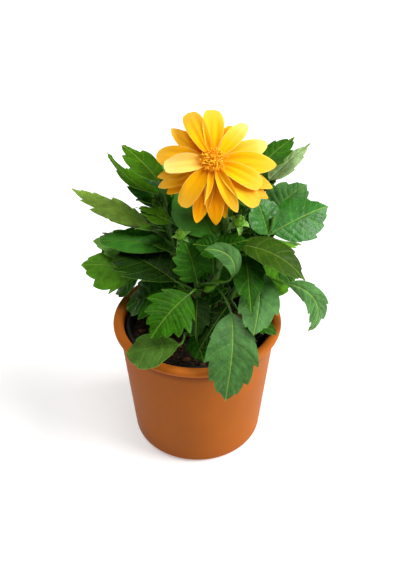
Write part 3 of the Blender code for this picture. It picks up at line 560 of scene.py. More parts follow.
class SoilSettings(bpy.types.PropertyGroup):
    """Sizes and colours of the potting soil."""

    peat: swatch("Peat", "Colour of the fine soil", "2A1D15")
    bark: swatch("Bark", "Colour of the bark chips and fibres", "5E4028")
    crumbs: count("Crumbs", "Number of crumbs on the soil", 620, 0)
    chips: count("Chips", "Number of bark chips", 70, 0)
    fibres: count("Fibres", "Number of loose fibres", 60, 0)


class LeafSettings(bpy.types.PropertyGroup):
    """Sizes and colours of the stems and leaves."""

    bright: swatch("Bright leaf", "Fresh green of the well-lit leaves", "396905")
    mid: swatch("Mid-green leaf", "Fuller green of the front leaves", "255A05")
    # Painted shade: this very dark green stands for the shade on leaves that lie behind and under
    # others
    deep: swatch("Deep leaf", "Very dark green of the shaded leaves", "0C3003")
    # Partly painted light: this lighter green is given to centre_left, which lies in the bloom's
    # shade, to stand for light on it
    smooth: swatch("Smooth leaf", "Even green of the smooth leaves below the bloom", "3D8224")
    light: swatch("Light leaf", "Clear light green of the outer leaves", "4E7F41")
    dark: swatch("Dark leaf", "Deep green of the older leaves", "164B04")
    olive: swatch("Olive leaf", "Yellowish green with a pale midrib", "7B9D3A")
    bluish: swatch("Bluish leaf", "Smooth green with a cool sheen", "2A6A20")
    grey: swatch("Greyish leaf", "Dusty green of the broad outer leaves", "437037")
    # Partly painted light: on left_pale, which lies in shade, this light green stands for light; on
    # the bracts it is their own colour
    pale: swatch("Pale leaf", "Light green with pale edges", "86BC5C")
    young: swatch("Young leaf", "Light yellow-green of new growth", "558F1E")
    faded: swatch("Faded leaf", "Greyed green of the leaf behind the bloom", "AAC888")
    dull: swatch("Dull leaf", "Brownish green of the leaf on the pot's rim", "3C601B")
    bronze: swatch("Bronzed leaf", "Dark olive green of the leaf right of the middle", "274406")
    cream: swatch("Bract edge", "Cream edge of the buds' bracts", "E6EDB4")
    underside: swatch("Underside", "Pale green of the leaves' lower sides", "6C963C")
    vein: swatch("Vein", "Colour of the midribs and veins", "8FB33C")
    stem: swatch("Stem", "Green of the stems and leaf stalks", "46721E")
    thickness: length("Thickness", "Thickness of a leaf", 0.45)
    columns: count("Columns", "Faces across a leaf", 24, 4)
    rows: count("Rows", "Faces along each tooth of a leaf", 12, 2)


class BloomSettings(bpy.types.PropertyGroup):
    """Sizes and colours of the bloom."""

    yellow: swatch("Yellow", "Main colour of the petals", "FFB303")
    pale: swatch("Pale yellow", "Colour of the lighter petals and of edges", "FFDC82")
    amber: swatch("Amber", "Colour of the shaded petals and of petal roots", "E88C05")
    floret: swatch("Floret", "Orange of the disc florets", "FFA90E")
    floret_tip: swatch("Gold floret", "Gold of the lighter disc florets", "FFC422")
    thickness: length("Thickness", "Thickness of a petal", 0.45)
    columns: count("Columns", "Faces across a petal", 20, 4)
    rows: count("Rows", "Faces along a petal", 34, 4)
    florets: count("Florets", "Number of disc florets", 84, 10)


class StageSettings(bpy.types.PropertyGroup):
    """The floor, the light and the camera's lens."""

    floor: swatch("Floor", "Colour of the plain floor", "D6D5D4")
    glow: strength("Glow", "Strength of the light from below the floor", 0.42)
    floor_size: length("Floor size", "Side of the square floor", 9000)
    key: strength("Key light", "Strength of the light from the right", 4.7)
    spread: bpy.props.FloatProperty(
        name="Softness", description="The width of the light in the sky", subtype="ANGLE",
        unit="ROTATION", default=math.radians(40))
    top: strength("Top light", "Strength of the light from above", 2.0)
    ambient: strength("Ambient", "Strength of the light all round", 0.05)
    lens: bpy.props.FloatProperty(name="Lens", description="The camera's focal length",
                                  subtype="DISTANCE_CAMERA", default=50.53)


def settings_of(group):
    """The settings of a group of pieces."""
    return getattr(bpy.context.scene, f"dahlia_{group}")


# Materials

def add(tree, kind, inputs=None, stops=None, **settings):
    """Add a shader node: its settings, its ramp's stops, and its inputs as values or sockets."""
    made = tree.nodes.new(f"ShaderNode{kind}")
    for name, value in settings.items():
        setattr(made, name, value)
    if stops:
        ramp = made.color_ramp.elements
        while len(ramp) < len(stops):
            ramp.new(1)
        for stop, (place, colour) in zip(ramp, stops):
            stop.position = place
            stop.color = (*colour, 1)
    for socket, value in (inputs or {}).items():
        if isinstance(value, bpy.types.NodeSocket):
            tree.links.new(value, made.inputs[socket])
        else:
            made.inputs[socket].default_value = value
    return made


# The sockets of a Mix node that mixes colours
FACTOR, FIRST, SECOND, MIXED = 0, 6, 7, 2


def new_material(name, roughness, **sockets):
    """An empty material with its shader's sockets set, its tree, and its place in millimetres."""
    material = bpy.data.materials.new(name)
    material.use_nodes = True
    tree = material.node_tree
    shader = tree.nodes["Principled BSDF"]
    shader.inputs["Roughness"].default_value = roughness
    for socket, value in sockets.items():
        shader.inputs[socket.replace("_", " ")].default_value = value
    place = add(tree, "TexCoord").outputs["Object"]
    place = add(tree, "Mapping", {"Vector": place, "Scale": (1 / MM, 1 / MM, 1 / MM)})
    return material, tree, place.outputs["Vector"]


def feed(tree, **outputs):
    """Link outputs to the shader's sockets, whose names have spaces for the underscores."""
    shader = tree.nodes["Principled BSDF"]
    for socket, output in outputs.items():
        tree.links.new(output, shader.inputs[socket.replace("_", " ")])


def rgba(colour):
    """A colour with full alpha."""
    return (*colour, 1)


def shade(colour, factor):
    """A colour made darker or lighter by a factor."""
    return tuple(min(1.0, c * factor) for c in colour)


def mix(first, second, share):
    """A colour between two others."""
    return tuple(a + (b - a) * share for a, b in zip(first, second))


def clay_material():
    """Slip-cast earthenware with a thin matt glaze: an even warm orange, specks, a soft sheen."""
    clay, speck = settings_of("pot").clay, settings_of("pot").speck
    material, tree, place = new_material("matt_glazed_earthenware", 0.5, IOR=1.5,
                                         Specular_IOR_Level=0.06)
    # Cloudy tone, about 40 mm across, from uneven glaze
    cloud = add(tree, "TexNoise", {"Vector": place, "Scale": 1 / 40, "Detail": 3.0,
                                   "Roughness": 0.55})
    tone = add(tree, "ValToRGB", {"Fac": cloud.outputs["Fac"]},
               stops=((0.3, shade(clay, 0.9)), (0.7, shade(clay, 1.08))))
    # Specks of about 0.5 mm, drawn 0.8 mm across so that they show
    grain = add(tree, "TexNoise", {"Vector": place, "Scale": 1 / 0.8, "Detail": 2.0,
                                   "Roughness": 0.7})
    dots = add(tree, "MapRange", {"Value": grain.outputs["Fac"], "From Min": 0.62,
                                  "From Max": 0.72, "To Max": 0.45})
    colour = add(tree, "Mix", {FACTOR: dots.outputs["Result"], FIRST: tone.outputs["Color"],
                               SECOND: rgba(speck)}, data_type="RGBA")
    # Painted shade: darker over the 10 mm below the lip, where its shadow falls; the body is a
    # little darker than the lip
    height = add(tree, "SeparateXYZ", {"Vector": place}).outputs["Z"]
    groove = add(tree, "MapRange", {"Value": height, "From Min": POT_HEIGHT - LIP_HEIGHT - 10,
                                    "From Max": POT_HEIGHT - LIP_HEIGHT + 1.4})
    # The painted shade under the lip, as a factor on the clay's colour
    painted_lip_shade = add(tree, "ValToRGB", {"Fac": groove.outputs["Result"]},
                 stops=((0.0, BODY_TONE), (0.5, LIP_SHADE_TONE), (0.82, LIP_SHADE_TONE),
                        (1.0, (1, 1, 1))))
    colour = add(tree, "Mix", {FACTOR: 1.0, FIRST: colour.outputs[MIXED],
                               SECOND: painted_lip_shade.outputs["Color"]},
                 data_type="RGBA", blend_type="MULTIPLY")
    # The sheen is a little broken, as a hand-wiped glaze is
    rough = add(tree, "MapRange", {"Value": cloud.outputs["Fac"], "From Min": 0.3,
                                   "From Max": 0.7, "To Min": 0.42, "To Max": 0.58})
    skin = add(tree, "Bump", {"Strength": 0.25, "Distance": 0.0001,
                              "Height": grain.outputs["Fac"]})
    feed(tree, Base_Color=colour.outputs[MIXED], Roughness=rough.outputs["Result"],
         Normal=skin.outputs["Normal"])
    return material


def plastic_material():
    """Thin moulded polypropylene: near black, with a soft grey shine and fine mould marks."""
    plastic = settings_of("pot").plastic
    material, tree, place = new_material("moulded_black_polypropylene", 0.42,
                                         Specular_IOR_Level=0.2)
    # Dust and wear in cloudy patches about 9 mm across
    dust = add(tree, "TexNoise", {"Vector": place, "Scale": 1 / 9, "Detail": 5.0,
                                  "Roughness": 0.65})
    tone = add(tree, "ValToRGB", {"Fac": dust.outputs["Fac"]},
               stops=((0.4, plastic), (0.75, shade(plastic, 2.2))))
    rough = add(tree, "MapRange", {"Value": dust.outputs["Fac"], "From Min": 0.3,
                                   "From Max": 0.7, "To Min": 0.34, "To Max": 0.6})
    # Mould lines 1.2 mm apart, level round the pot
    lines = add(tree, "TexWave", {"Vector": place, "Scale": 1 / 1.2 / 20, "Distortion": 0.5},
                bands_direction="Z")
    marks = add(tree, "Bump", {"Strength": 0.2, "Distance": 0.0001,
                               "Height": lines.outputs["Fac"]})
    feed(tree, Base_Color=tone.outputs["Color"], Roughness=rough.outputs["Result"],
         Normal=marks.outputs["Normal"])
    return material


def peat_material(name, colour, light):
    """Moist peat or bark: dull, dark and crumbly, with lighter fibres in it."""
    material, tree, place = new_material(name, 0.95, Specular_IOR_Level=0.2)
    # Crumbs about 2 mm across
    crumb = add(tree, "TexNoise", {"Vector": place, "Scale": 1 / 2.2, "Detail": 6.0,
                                   "Roughness": 0.7})
    tone = add(tree, "ValToRGB", {"Fac": crumb.outputs["Fac"]},
               stops=((0.35, shade(colour, 0.45)), (0.55, colour), (0.75, light)))
    rough = add(tree, "Bump", {"Strength": 0.8, "Distance": 0.0006,
                               "Height": crumb.outputs["Fac"]})
    feed(tree, Base_Color=tone.outputs["Color"], Normal=rough.outputs["Normal"])
    return material


def stem_material():
    """Living herbaceous stem: fresh green with lighter streaks along it and a slight waxy shine."""
    green = settings_of("leaf").stem
    material, tree, place = new_material(
        "waxy_green_stem", 0.42, Specular_IOR_Level=0.3, Subsurface_Weight=0.1,
        Subsurface_Scale=0.001, Subsurface_Radius=(0.6, 1.0, 0.3))
    # Streaks 1 mm wide and 12 mm long
    tall = add(tree, "Mapping", {"Vector": place, "Scale": (1.0, 1.0, 1 / 12)})
    streak = add(tree, "TexNoise", {"Vector": tall.outputs["Vector"], "Scale": 1.0,
                                    "Detail": 3.0})
    tone = add(tree, "ValToRGB", {"Fac": streak.outputs["Fac"]},
               stops=((0.3, shade(green, 0.7)), (0.5, green), (0.72, shade(green, 1.35))))
    relief = add(tree, "Bump", {"Strength": 0.3, "Distance": 0.0002,
                                "Height": streak.outputs["Fac"]})
    feed(tree, Base_Color=tone.outputs["Color"], Normal=relief.outputs["Normal"])
    return material


def leaf_material(name, green, look):
    """Dahlia leaf: satin green cells in a fine net, and lighter veins that run forward."""
    vein = settings_of("leaf").vein
    material, tree, place = new_material(
        name, look.roughness, IOR=1.45, Specular_IOR_Level=look.shine, Subsurface_Weight=0.1,
        Subsurface_Scale=0.0008, Subsurface_Radius=(0.5, 1.0, 0.25))
    surface = add(tree, "UVMap", uv_map=PATTERN).outputs["UV"]
    parts = add(tree, "SeparateXYZ", {"Vector": surface})
    # Cloudy tone, about 10 mm across, with finer spots in it
    cloud = add(tree, "TexNoise", {"Vector": place, "Scale": 1 / 10, "Detail": 6.0,
                                   "Roughness": 0.68})
    tone = add(tree, "ValToRGB", {"Fac": cloud.outputs["Fac"]},
               stops=((0.3, shade(green, 0.6)), (0.5, green), (0.72, shade(green, 1.4))))
    # The midrib is 1 mm wide, and the map's X is millimetres from it
    across = add(tree, "Math", {0: parts.outputs["X"]}, operation="ABSOLUTE")
    rib = add(tree, "MapRange", {"Value": across.outputs["Value"], "From Min": 0.25,
                                 "From Max": 0.75, "To Min": look.rib, "To Max": 0.0},
              interpolation_type="SMOOTHSTEP")
    # Side veins, one to each unit of the map's Y and a finer one between
    major = add(tree, "Math", {0: parts.outputs["Y"], 1: 0.5}, operation="PINGPONG")
    major = add(tree, "MapRange", {"Value": major.outputs["Value"], "From Min": 0.012,
                                   "From Max": 0.05, "To Min": look.veins, "To Max": 0.0},
                interpolation_type="SMOOTHSTEP")
    halfway = add(tree, "Math", {0: parts.outputs["Y"], 1: 0.5}, operation="ADD")
    minor = add(tree, "Math", {0: halfway.outputs["Value"], 1: 0.5}, operation="PINGPONG")
    minor = add(tree, "MapRange", {"Value": minor.outputs["Value"], "From Min": 0.01,
                                   "From Max": 0.035, "To Min": look.veins / 2, "To Max": 0.0},
                interpolation_type="SMOOTHSTEP")
    veins = add(tree, "Math", {0: major.outputs["Result"], 1: minor.outputs["Result"]},
                operation="MAXIMUM")
    veins = add(tree, "Math", {0: veins.outputs["Value"], 1: rib.outputs["Result"]},
                operation="MAXIMUM")
    # The net between the veins: cells of about 1.3 mm
    cells = add(tree, "TexVoronoi", {"Vector": place, "Scale": 1 / 1.3},
                feature="DISTANCE_TO_EDGE")
    net = add(tree, "MapRange", {"Value": cells.outputs["Distance"], "From Max": 0.12,
                                 "To Min": 0.09, "To Max": 0.0})
    netted = add(tree, "Mix", {FACTOR: net.outputs["Result"], FIRST: tone.outputs["Color"],
                               SECOND: rgba(vein)}, data_type="RGBA")
    colour = add(tree, "Mix", {FACTOR: veins.outputs["Value"], FIRST: netted.outputs[MIXED],
                               SECOND: rgba(vein)}, data_type="RGBA")
    # The veins are pressed into the upper side
    low = add(tree, "Math", {0: veins.outputs["Value"], 1: -1 / look.rib}, operation="MULTIPLY")
    dents = add(tree, "Bump", {"Strength": 0.6, "Distance": 0.0004,
                               "Height": low.outputs["Value"]})
    # Small swellings between the veins, about 3.5 mm across
    swell = add(tree, "TexNoise", {"Vector": place, "Scale": 1 / 3.5, "Detail": 3.0})
    pillow = add(tree, "Bump", {"Strength": 0.8, "Distance": 0.0009,
                                "Height": swell.outputs["Fac"],
                                "Normal": dents.outputs["Normal"]})
    skin = add(tree, "Bump", {"Strength": 0.35, "Distance": 0.0002,
                              "Height": cells.outputs["Distance"],
                              "Normal": pillow.outputs["Normal"]})
    feed(tree, Base_Color=colour.outputs[MIXED], Normal=skin.outputs["Normal"])
    return material


def petal_material(name, root, middle, tip, edge):
    """Petal or bract tissue: soft, slightly see-through, deepest at the root, pale at its rim."""
    material, tree, _ = new_material(
        name, 0.6, IOR=1.4, Specular_IOR_Level=0.05, Subsurface_Weight=0.4,
        Subsurface_Scale=0.0015, Subsurface_Radius=(1.0, 0.7, 0.15))
    surface = add(tree, "UVMap", uv_map=PATTERN).outputs["UV"]
    parts = add(tree, "SeparateXYZ", {"Vector": surface})
    along = add(tree, "ValToRGB", {"Fac": parts.outputs["Y"]},
                stops=((0.0, root), (0.4, middle), (0.7, mix(middle, tip, 0.25)), (1.0, tip)))
    # The rim is pale over about its last twentieth
    across = add(tree, "Math", {0: parts.outputs["X"]}, operation="ABSOLUTE")
    rim = add(tree, "MapRange", {"Value": across.outputs["Value"], "From Min": 0.9,
                                 "From Max": 0.99, "To Min": 0.0, "To Max": 0.7},
              interpolation_type="SMOOTHSTEP")
    edged = add(tree, "Mix", {FACTOR: rim.outputs["Result"], FIRST: along.outputs["Color"],
                              SECOND: rgba(edge)}, data_type="RGBA")
    # Streaks a twentieth of the petal wide, running from root to tip
    stretched = add(tree, "Mapping", {"Vector": surface, "Scale": (10.0, 0.9, 1.0)})
    streak = add(tree, "TexNoise", {"Vector": stretched.outputs["Vector"], "Scale": 1.0,
                                    "Detail": 4.0})
    faint = add(tree, "MapRange", {"Value": streak.outputs["Fac"], "From Min": 0.5,
                                   "From Max": 0.75, "To Min": 0.0, "To Max": 0.35})
    colour = add(tree, "Mix", {FACTOR: faint.outputs["Result"], FIRST: edged.outputs[MIXED],
                               SECOND: rgba(root)}, data_type="RGBA")
    ribs = add(tree, "Bump", {"Strength": 0.3, "Distance": 0.0003,
                              "Height": streak.outputs["Fac"]})
    feed(tree, Base_Color=colour.outputs[MIXED], Normal=ribs.outputs["Normal"])
    return material


def floret_material(name, colour):
    """Disc floret: a waxy little tube of deep yellow, a shade darker in places."""
    material, tree, place = new_material(
        name, 0.45, Specular_IOR_Level=0.2, Subsurface_Weight=0.2, Subsurface_Scale=0.0006,
        Subsurface_Radius=(1.0, 0.6, 0.1))
    # Spots about 1.5 mm across
    spot = add(tree, "TexNoise", {"Vector": place, "Scale": 1 / 1.5, "Detail": 2.0})
    tone = add(tree, "ValToRGB", {"Fac": spot.outputs["Fac"]},
               stops=((0.3, shade(colour, 0.8)), (0.5, colour), (0.8, shade(colour, 1.2))))
    feed(tree, Base_Color=tone.outputs["Color"])
    return material


def floor_material():
    """A light table's top: smooth opal acrylic, white, quite matt and faintly lit from below."""
    settings = settings_of("stage")
    material, tree, place = new_material("opal_acrylic_panel", 0.8, Emission_Color=(1, 1, 1, 1),
                                         Emission_Strength=settings.glow)
    # A drift of tone, 400 mm across, too faint to see as a pattern
    drift = add(tree, "TexNoise", {"Vector": place, "Scale": 1 / 400, "Detail": 2.0})
    tone = add(tree, "ValToRGB", {"Fac": drift.outputs["Fac"]},
               stops=((0.3, shade(settings.floor, 0.995)), (0.7, settings.floor)))
    feed(tree, Base_Color=tone.outputs["Color"])
    return material


# Each kind of green: its roughness, its shine, and how clear its side veins and its midrib are
Green = namedtuple("Green", "roughness shine veins rib")
GREENS = {
    "bright": Green(0.42, 0.08, 0.16, 0.5),
    "mid": Green(0.42, 0.08, 0.14, 0.35),
    "dark": Green(0.40, 0.06, 0.12, 0.3),
    "deep": Green(0.40, 0.06, 0.10, 0.3),
    "smooth": Green(0.42, 0.12, 0.10, 0.4),
    "light": Green(0.40, 0.12, 0.18, 0.5),
    "olive": Green(0.45, 0.1, 0.2, 0.7),
    "bluish": Green(0.32, 0.25, 0.16, 0.5),
    "grey": Green(0.40, 0.15, 0.14, 0.5),
    "pale": Green(0.55, 0.1, 0.3, 0.5),
    "young": Green(0.42, 0.08, 0.2, 0.5),
    "faded": Green(0.6, 0.1, 0.1, 0.3),
    "dull": Green(0.55, 0.1, 0.12, 0.15),
    "bronze": Green(0.42, 0.1, 0.1, 0.35),
    "underside": Green(0.6, 0.1, 0.3, 0.6),
}
KINDS = tuple(GREENS)
UNDERSIDE = KINDS.index("underside")


def leaf_materials():
    """One material for each kind of green, in the order of KINDS, made once."""
    names = [f"{kind}_dahlia_leaf" for kind in KINDS[:-1]] + ["dahlia_leaf_underside"]
    if names[0] not in bpy.data.materials:
        for kind, name in zip(KINDS, names):
            leaf_material(name, getattr(settings_of("leaf"), kind), GREENS[kind])
    return [bpy.data.materials[name] for name in names]


# Shapes

def between(limits, share):
    """The value at a share of the way from the first limit to the second."""
    return limits[0] + (limits[1] - limits[0]) * share


def ease(value):
    """A smooth step from 0 to 1."""
    value = min(max(value, 0.0), 1.0)
    return value * value * (3 - 2 * value)


def heading(azimuth, pitch=0.0):
    """The unit vector of a heading round +Z from +X and a pitch above the level."""
    a, p = math.radians(azimuth), math.radians(pitch)
    return Vector((math.cos(a) * math.cos(p), math.sin(a) * math.cos(p), math.sin(p)))


def smooth(points, count):
    """Points at even steps of a curve that runs smoothly through the given ones."""
    knots = [Vector(p) for p in points]
    knots = [2 * knots[0] - knots[1]] + knots + [2 * knots[-1] - knots[-2]]
    spans = len(knots) - 3
    curve = []
    for step in range(count + 1):
        place = step / count * spans
        k = min(int(place), spans - 1)
        t = place - k
        a, b, c, d = knots[k:k + 4]
        curve.append(0.5 * (2 * b + (c - a) * t + (2 * a - 5 * b + 4 * c - d) * t * t
                            + (3 * b - a - 3 * c + d) * t ** 3))
    return curve


def outline(share, rise, fall):
    """A blade's width at a share of its length, 1 where it is widest."""
    share = min(max(share, 0.0), 1.0)
    peak = rise / (rise + fall)
    return share ** rise * (1 - share) ** fall / (peak ** rise * (1 - peak) ** fall)


class Build:
    """A mesh in millimetres that becomes one piece. Its sheets each get a patch of the bake map."""

    def __init__(self, sheets=0):
        self.bm = bmesh.new()
        self.sheets = sheets
        self.patches = math.ceil(math.sqrt(2 * sheets))
        self.used = 0

    @contextmanager
    def part(self):
        """A small mesh that joins the piece when done, as operators slow down on a large one."""
        bm = bmesh.new()
        bm.loops.layers.uv.new(PATTERN)
        if self.sheets:
            bm.loops.layers.uv.new(BAKE)
        yield bm
        mesh = bpy.data.meshes.new("part")
        bm.to_mesh(mesh)
        bm.free()
        self.bm.from_mesh(mesh)
        bpy.data.meshes.remove(mesh)

    def patch(self, number, u, t):
        """The bake map's place for a point of a sheet's patch."""
        row, column = divmod(number, self.patches)
        inner = 1 - 2 * PATCH_MARGIN
        return ((column + PATCH_MARGIN + inner * (u + 1) / 2) / self.patches,
                (row + PATCH_MARGIN + inner * t) / self.patches)

    def sheet(self, columns, rows, surface, thickness, pattern, slots, gather=1.0):
        """A thin closed sheet: a grid laid on a surface, its copy a thickness below, and a rim.

        surface gives the point and the upward direction at t from 0 to 1 along and u from -1 to 1
        across, and pattern the map's place there. slots are the materials of the upper side and of
        the rest.
        """
        with self.part() as bm:
            upper = bmesh.ops.create_grid(bm, x_segments=columns, y_segments=rows,
                                          size=0.5)["verts"]
            copied = bmesh.ops.duplicate(bm, geom=bm.verts[:] + bm.edges[:] + bm.faces[:])
            lower_faces = [item for item in copied["geom"] if isinstance(item, BMFace)]
            upper_faces = list({face for vert in upper for face in vert.link_faces})
            bmesh.ops.reverse_faces(bm, faces=lower_faces)
            where = {}
            for vert in upper:
                side = vert.co.x * 2
                t, u = vert.co.y + 0.5, math.copysign(abs(side) ** gather, side)
                point, up = surface(t, u)
                twin = copied["vert_map"][vert]
                vert.co = point + up * (thickness / 2)
                twin.co = point - up * (thickness / 2)
                where[vert] = (t, u, 0)
                where[twin] = (t, u, 1)
            edges = [edge for edge in bm.edges if edge.is_boundary]
            rim = bmesh.ops.bridge_loops(bm, edges=edges)["faces"]
            bmesh.ops.recalc_face_normals(bm, faces=bm.faces[:])
            pattern_map, bake = bm.loops.layers.uv[PATTERN], bm.loops.layers.uv.get(BAKE)
            for side, group in enumerate((upper_faces, lower_faces, rim)):
                for face in group:
                    face.material_index = slots[side > 0]
                    for loop in face.loops:
                        t, u, under = where[loop.vert]
                        loop[pattern_map].uv = pattern(t, u)
                        if bake:
                            if side == 2 and under:
                                t, u = t + (t - 0.5) * RIM_SPREAD, u * (1 + RIM_SPREAD)
                            loop[bake].uv = self.patch(self.used + (side == 1), u, t)
        self.used += 2

    def tube(self, line, radii, sides, slot=0, ridges=0, depth=0.0):
        """A tapering tube: a ring of edges, extruded along a line and closed at both ends."""
        turn = Vector((0, 0, 1)).rotation_difference(line[1] - line[0])
        frames = []
        for k, (point, radius) in enumerate(zip(line, radii)):
            way = line[min(k + 1, len(line) - 1)] - line[max(k - 1, 0)]
            turn = (turn @ Vector((0, 0, 1))).rotation_difference(way) @ turn
            frames.append(Matrix.LocRotScale(point, turn, Vector((radius, radius, radius))))
        with self.part() as bm:
            ring = bmesh.ops.create_circle(bm, segments=sides, radius=1)["verts"]
            for vert in ring:
                vert.co *= 1 + depth * math.cos(ridges * math.atan2(vert.co.y, vert.co.x))
            edges = bm.edges[:]
            bmesh.ops.transform(bm, matrix=frames[0], verts=ring)
            bmesh.ops.edgeloop_fill(bm, edges=edges)
            for here, there in zip(frames, frames[1:]):
                grown = bmesh.ops.extrude_edge_only(bm, edges=edges)["geom"]
                ring = {item for item in grown if isinstance(item, BMVert)}
                edges = [item for item in grown
                         if isinstance(item, BMEdge) and ring.issuperset(item.verts)]
                bmesh.ops.transform(bm, matrix=there @ here.inverted(), verts=list(ring))
            bmesh.ops.edgeloop_fill(bm, edges=edges)
            bmesh.ops.recalc_face_normals(bm, faces=bm.faces[:])
            for face in bm.faces:
                face.material_index = slot

    def ball(self, matrix, around, up, slot=0):
        """A unit ball, placed and shaped by a matrix."""
        with self.part() as bm:
            bmesh.ops.create_uvsphere(bm, u_segments=around, v_segments=up, radius=1, matrix=matrix)
            for face in bm.faces:
                face.material_index = slot

    def crumb(self, matrix, fineness, slot=0):
        """A small many-sided lump, placed and shaped by a matrix."""
        with self.part() as bm:
            bmesh.ops.create_icosphere(bm, subdivisions=fineness, radius=1, matrix=matrix)
            for face in bm.faces:
                face.material_index = slot

    def turned(self, profile, steps, centre=(0.0, 0.0)):
        """A profile of (radius, height) points, spun right round."""
        with self.part() as bm:
            verts = [bm.verts.new((radius, 0, height)) for radius, height in profile]
            edges = [bm.edges.new(pair) for pair in zip(verts, verts[1:])]
            bmesh.ops.spin(bm, geom=verts + edges, axis=(0, 0, 1), cent=(0, 0, 0),
                           angle=math.tau, steps=steps, use_merge=True)
            bmesh.ops.remove_doubles(bm, verts=bm.verts, dist=0.001)
            bmesh.ops.recalc_face_normals(bm, faces=bm.faces)
            bmesh.ops.translate(bm, vec=(centre[0], centre[1], 0), verts=bm.verts)

    def finish(self, name, materials, slot, *nodes):
        """Make the mesh a smooth piece in metres that rides on the pot and replaces solids."""
        bmesh.ops.scale(self.bm, vec=(MM, MM, MM), verts=self.bm.verts)
        mesh = bpy.data.meshes.new(name)
        self.bm.to_mesh(mesh)
        self.bm.free()
        for material in materials:
            mesh.materials.append(material)
        mesh.shade_smooth()
        mesh.set_sharp_from_angle(angle=math.radians(SHARP_ANGLE))
        piece = bpy.data.objects.new(name, mesh)
        bpy.context.scene.collection.objects.link(piece)
        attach(piece, BODY)
        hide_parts(*nodes)
        return piece


# Pots and soil

def arc(centre, across, high, start, end, steps):
    """Points of an arc in a profile, between two angles, with its own width and height."""
    angles = [math.radians(between((start, end), k / steps)) for k in range(steps + 1)]
    return [(centre[0] + across * math.cos(a), centre[1] + high * math.sin(a)) for a in angles]


class DAHLIA_OT_cover_pot(bpy.types.Operator):
    """Turn the cover pot, with its rounded lip, the groove under it and a low foot ring"""

    bl_idname = "dahlia.cover_pot"
    bl_label = "Cover pot"

    def execute(self, context):
        lip = (POT_RIM_RADIUS - LIP_WIDTH / 2, POT_HEIGHT - LIP_HEIGHT / 2)
        inner_base = BODY_BASE_RADIUS - WALL
        foot = BODY_BASE_RADIUS - BASE_ROUNDING
        ring = foot - FOOT_WIDTH
        below_lip = (BODY_TOP_RADIUS - LIP_GROOVE, POT_HEIGHT - LIP_HEIGHT - LIP_GROOVE)
        above_foot = (BODY_BASE_RADIUS, BASE_ROUNDING)
        profile = [(0, FLOOR_THICKNESS), (inner_base / 2, FLOOR_THICKNESS)]
        profile += arc((inner_base - FLOOR_FILLET, FLOOR_THICKNESS + FLOOR_FILLET),
                       FLOOR_FILLET, FLOOR_FILLET, -90, 0, FILLET_STEPS)
        profile += arc(lip, LIP_WIDTH / 2, LIP_HEIGHT / 2, 180, LIP_END, LIP_STEPS)
        profile += [tuple(between(ends, step / BODY_STEPS) for ends in zip(below_lip, above_foot))
                    for step in range(BODY_STEPS)]
        profile += arc((foot, BASE_ROUNDING), BASE_ROUNDING, BASE_ROUNDING, 0, -90, BASE_STEPS)
        profile += [(ring, 0), (ring - FOOT_RECESS, FOOT_RECESS), (0, FOOT_RECESS)]
        build = Build()
        build.turned(profile, settings_of("pot").turned_steps)
        build.finish("pot_of_glazed_clay", [clay_material()], "cover_pot", "cover_pot")
        return {"FINISHED"}


class DAHLIA_OT_nursery_pot(bpy.types.Operator):
    """Turn the thin nursery pot, with its rolled rim and a stacking ledge below it"""

    bl_idname = "dahlia.nursery_pot"
    bl_label = "Nursery pot"

    def execute(self, context):
        floor, rim, edge = NURSERY_FLOOR_Z, NURSERY_RIM_Z, NURSERY_RIM_RADIUS
        inner_top = NURSERY_TOP_RADIUS - NURSERY_WALL
        inner_base = NURSERY_BASE_RADIUS - NURSERY_WALL
        ledge = rim - NURSERY_LEDGE_DROP
        at_ledge = between((inner_base, inner_top), (ledge - floor) / (rim - floor))
        outside = at_ledge + NURSERY_WALL
        roll = (edge - inner_top) / 2
        skirt = rim - NURSERY_RIM_DROP
        profile = [(0, floor + NURSERY_WALL), (inner_base - NURSERY_CORNER, floor + NURSERY_WALL),
                   (inner_base, floor + NURSERY_WALL + NURSERY_CORNER),
                   (at_ledge - NURSERY_LEDGE, ledge - NURSERY_LEDGE_SLOPE), (at_ledge, ledge),
                   (inner_top, rim - NURSERY_ROLL)]
        profile += arc((inner_top + roll, rim - NURSERY_ROLL), roll, NURSERY_ROLL, 180, 0,
                       NURSERY_ROLL_STEPS)
        profile += [(edge, skirt), (edge - NURSERY_SKIRT[0], skirt),
                    (edge - NURSERY_SKIRT[1], rim - NURSERY_ROOT[0]),
                    (NURSERY_TOP_RADIUS, rim - NURSERY_ROOT[1]), (outside, ledge),
                    (outside - NURSERY_LEDGE, ledge - NURSERY_LEDGE_SLOPE),
                    (NURSERY_BASE_RADIUS, floor), (0, floor)]
        build = Build()
        build.turned(profile, settings_of("pot").turned_steps, NURSERY_CENTRE)
        build.finish("thin_plastic_pot", [plastic_material()], "nursery_pot", "nursery_pot")
        return {"FINISHED"}


def soil_height(x, y):
    """The height of the soil's lumpy surface, highest near the stems and level with the solid's."""
    out = math.hypot(x - NURSERY_CENTRE.x, y - NURSERY_CENTRE.y) / SOIL_RADIUS
    share, closeness = SOIL_FINE
    lumps = noise.noise(Vector((x, y, 0)) / SOIL_LUMP)
    lumps += share * noise.noise(Vector((x, y, 9)) / SOIL_LUMP * closeness)
    mean = SOIL_TOP_Z - SOIL_DIP - SOIL_FALL * out * out
    return mean + SOIL_HEIGHT * lumps * (1 - out ** SOIL_FLAT)


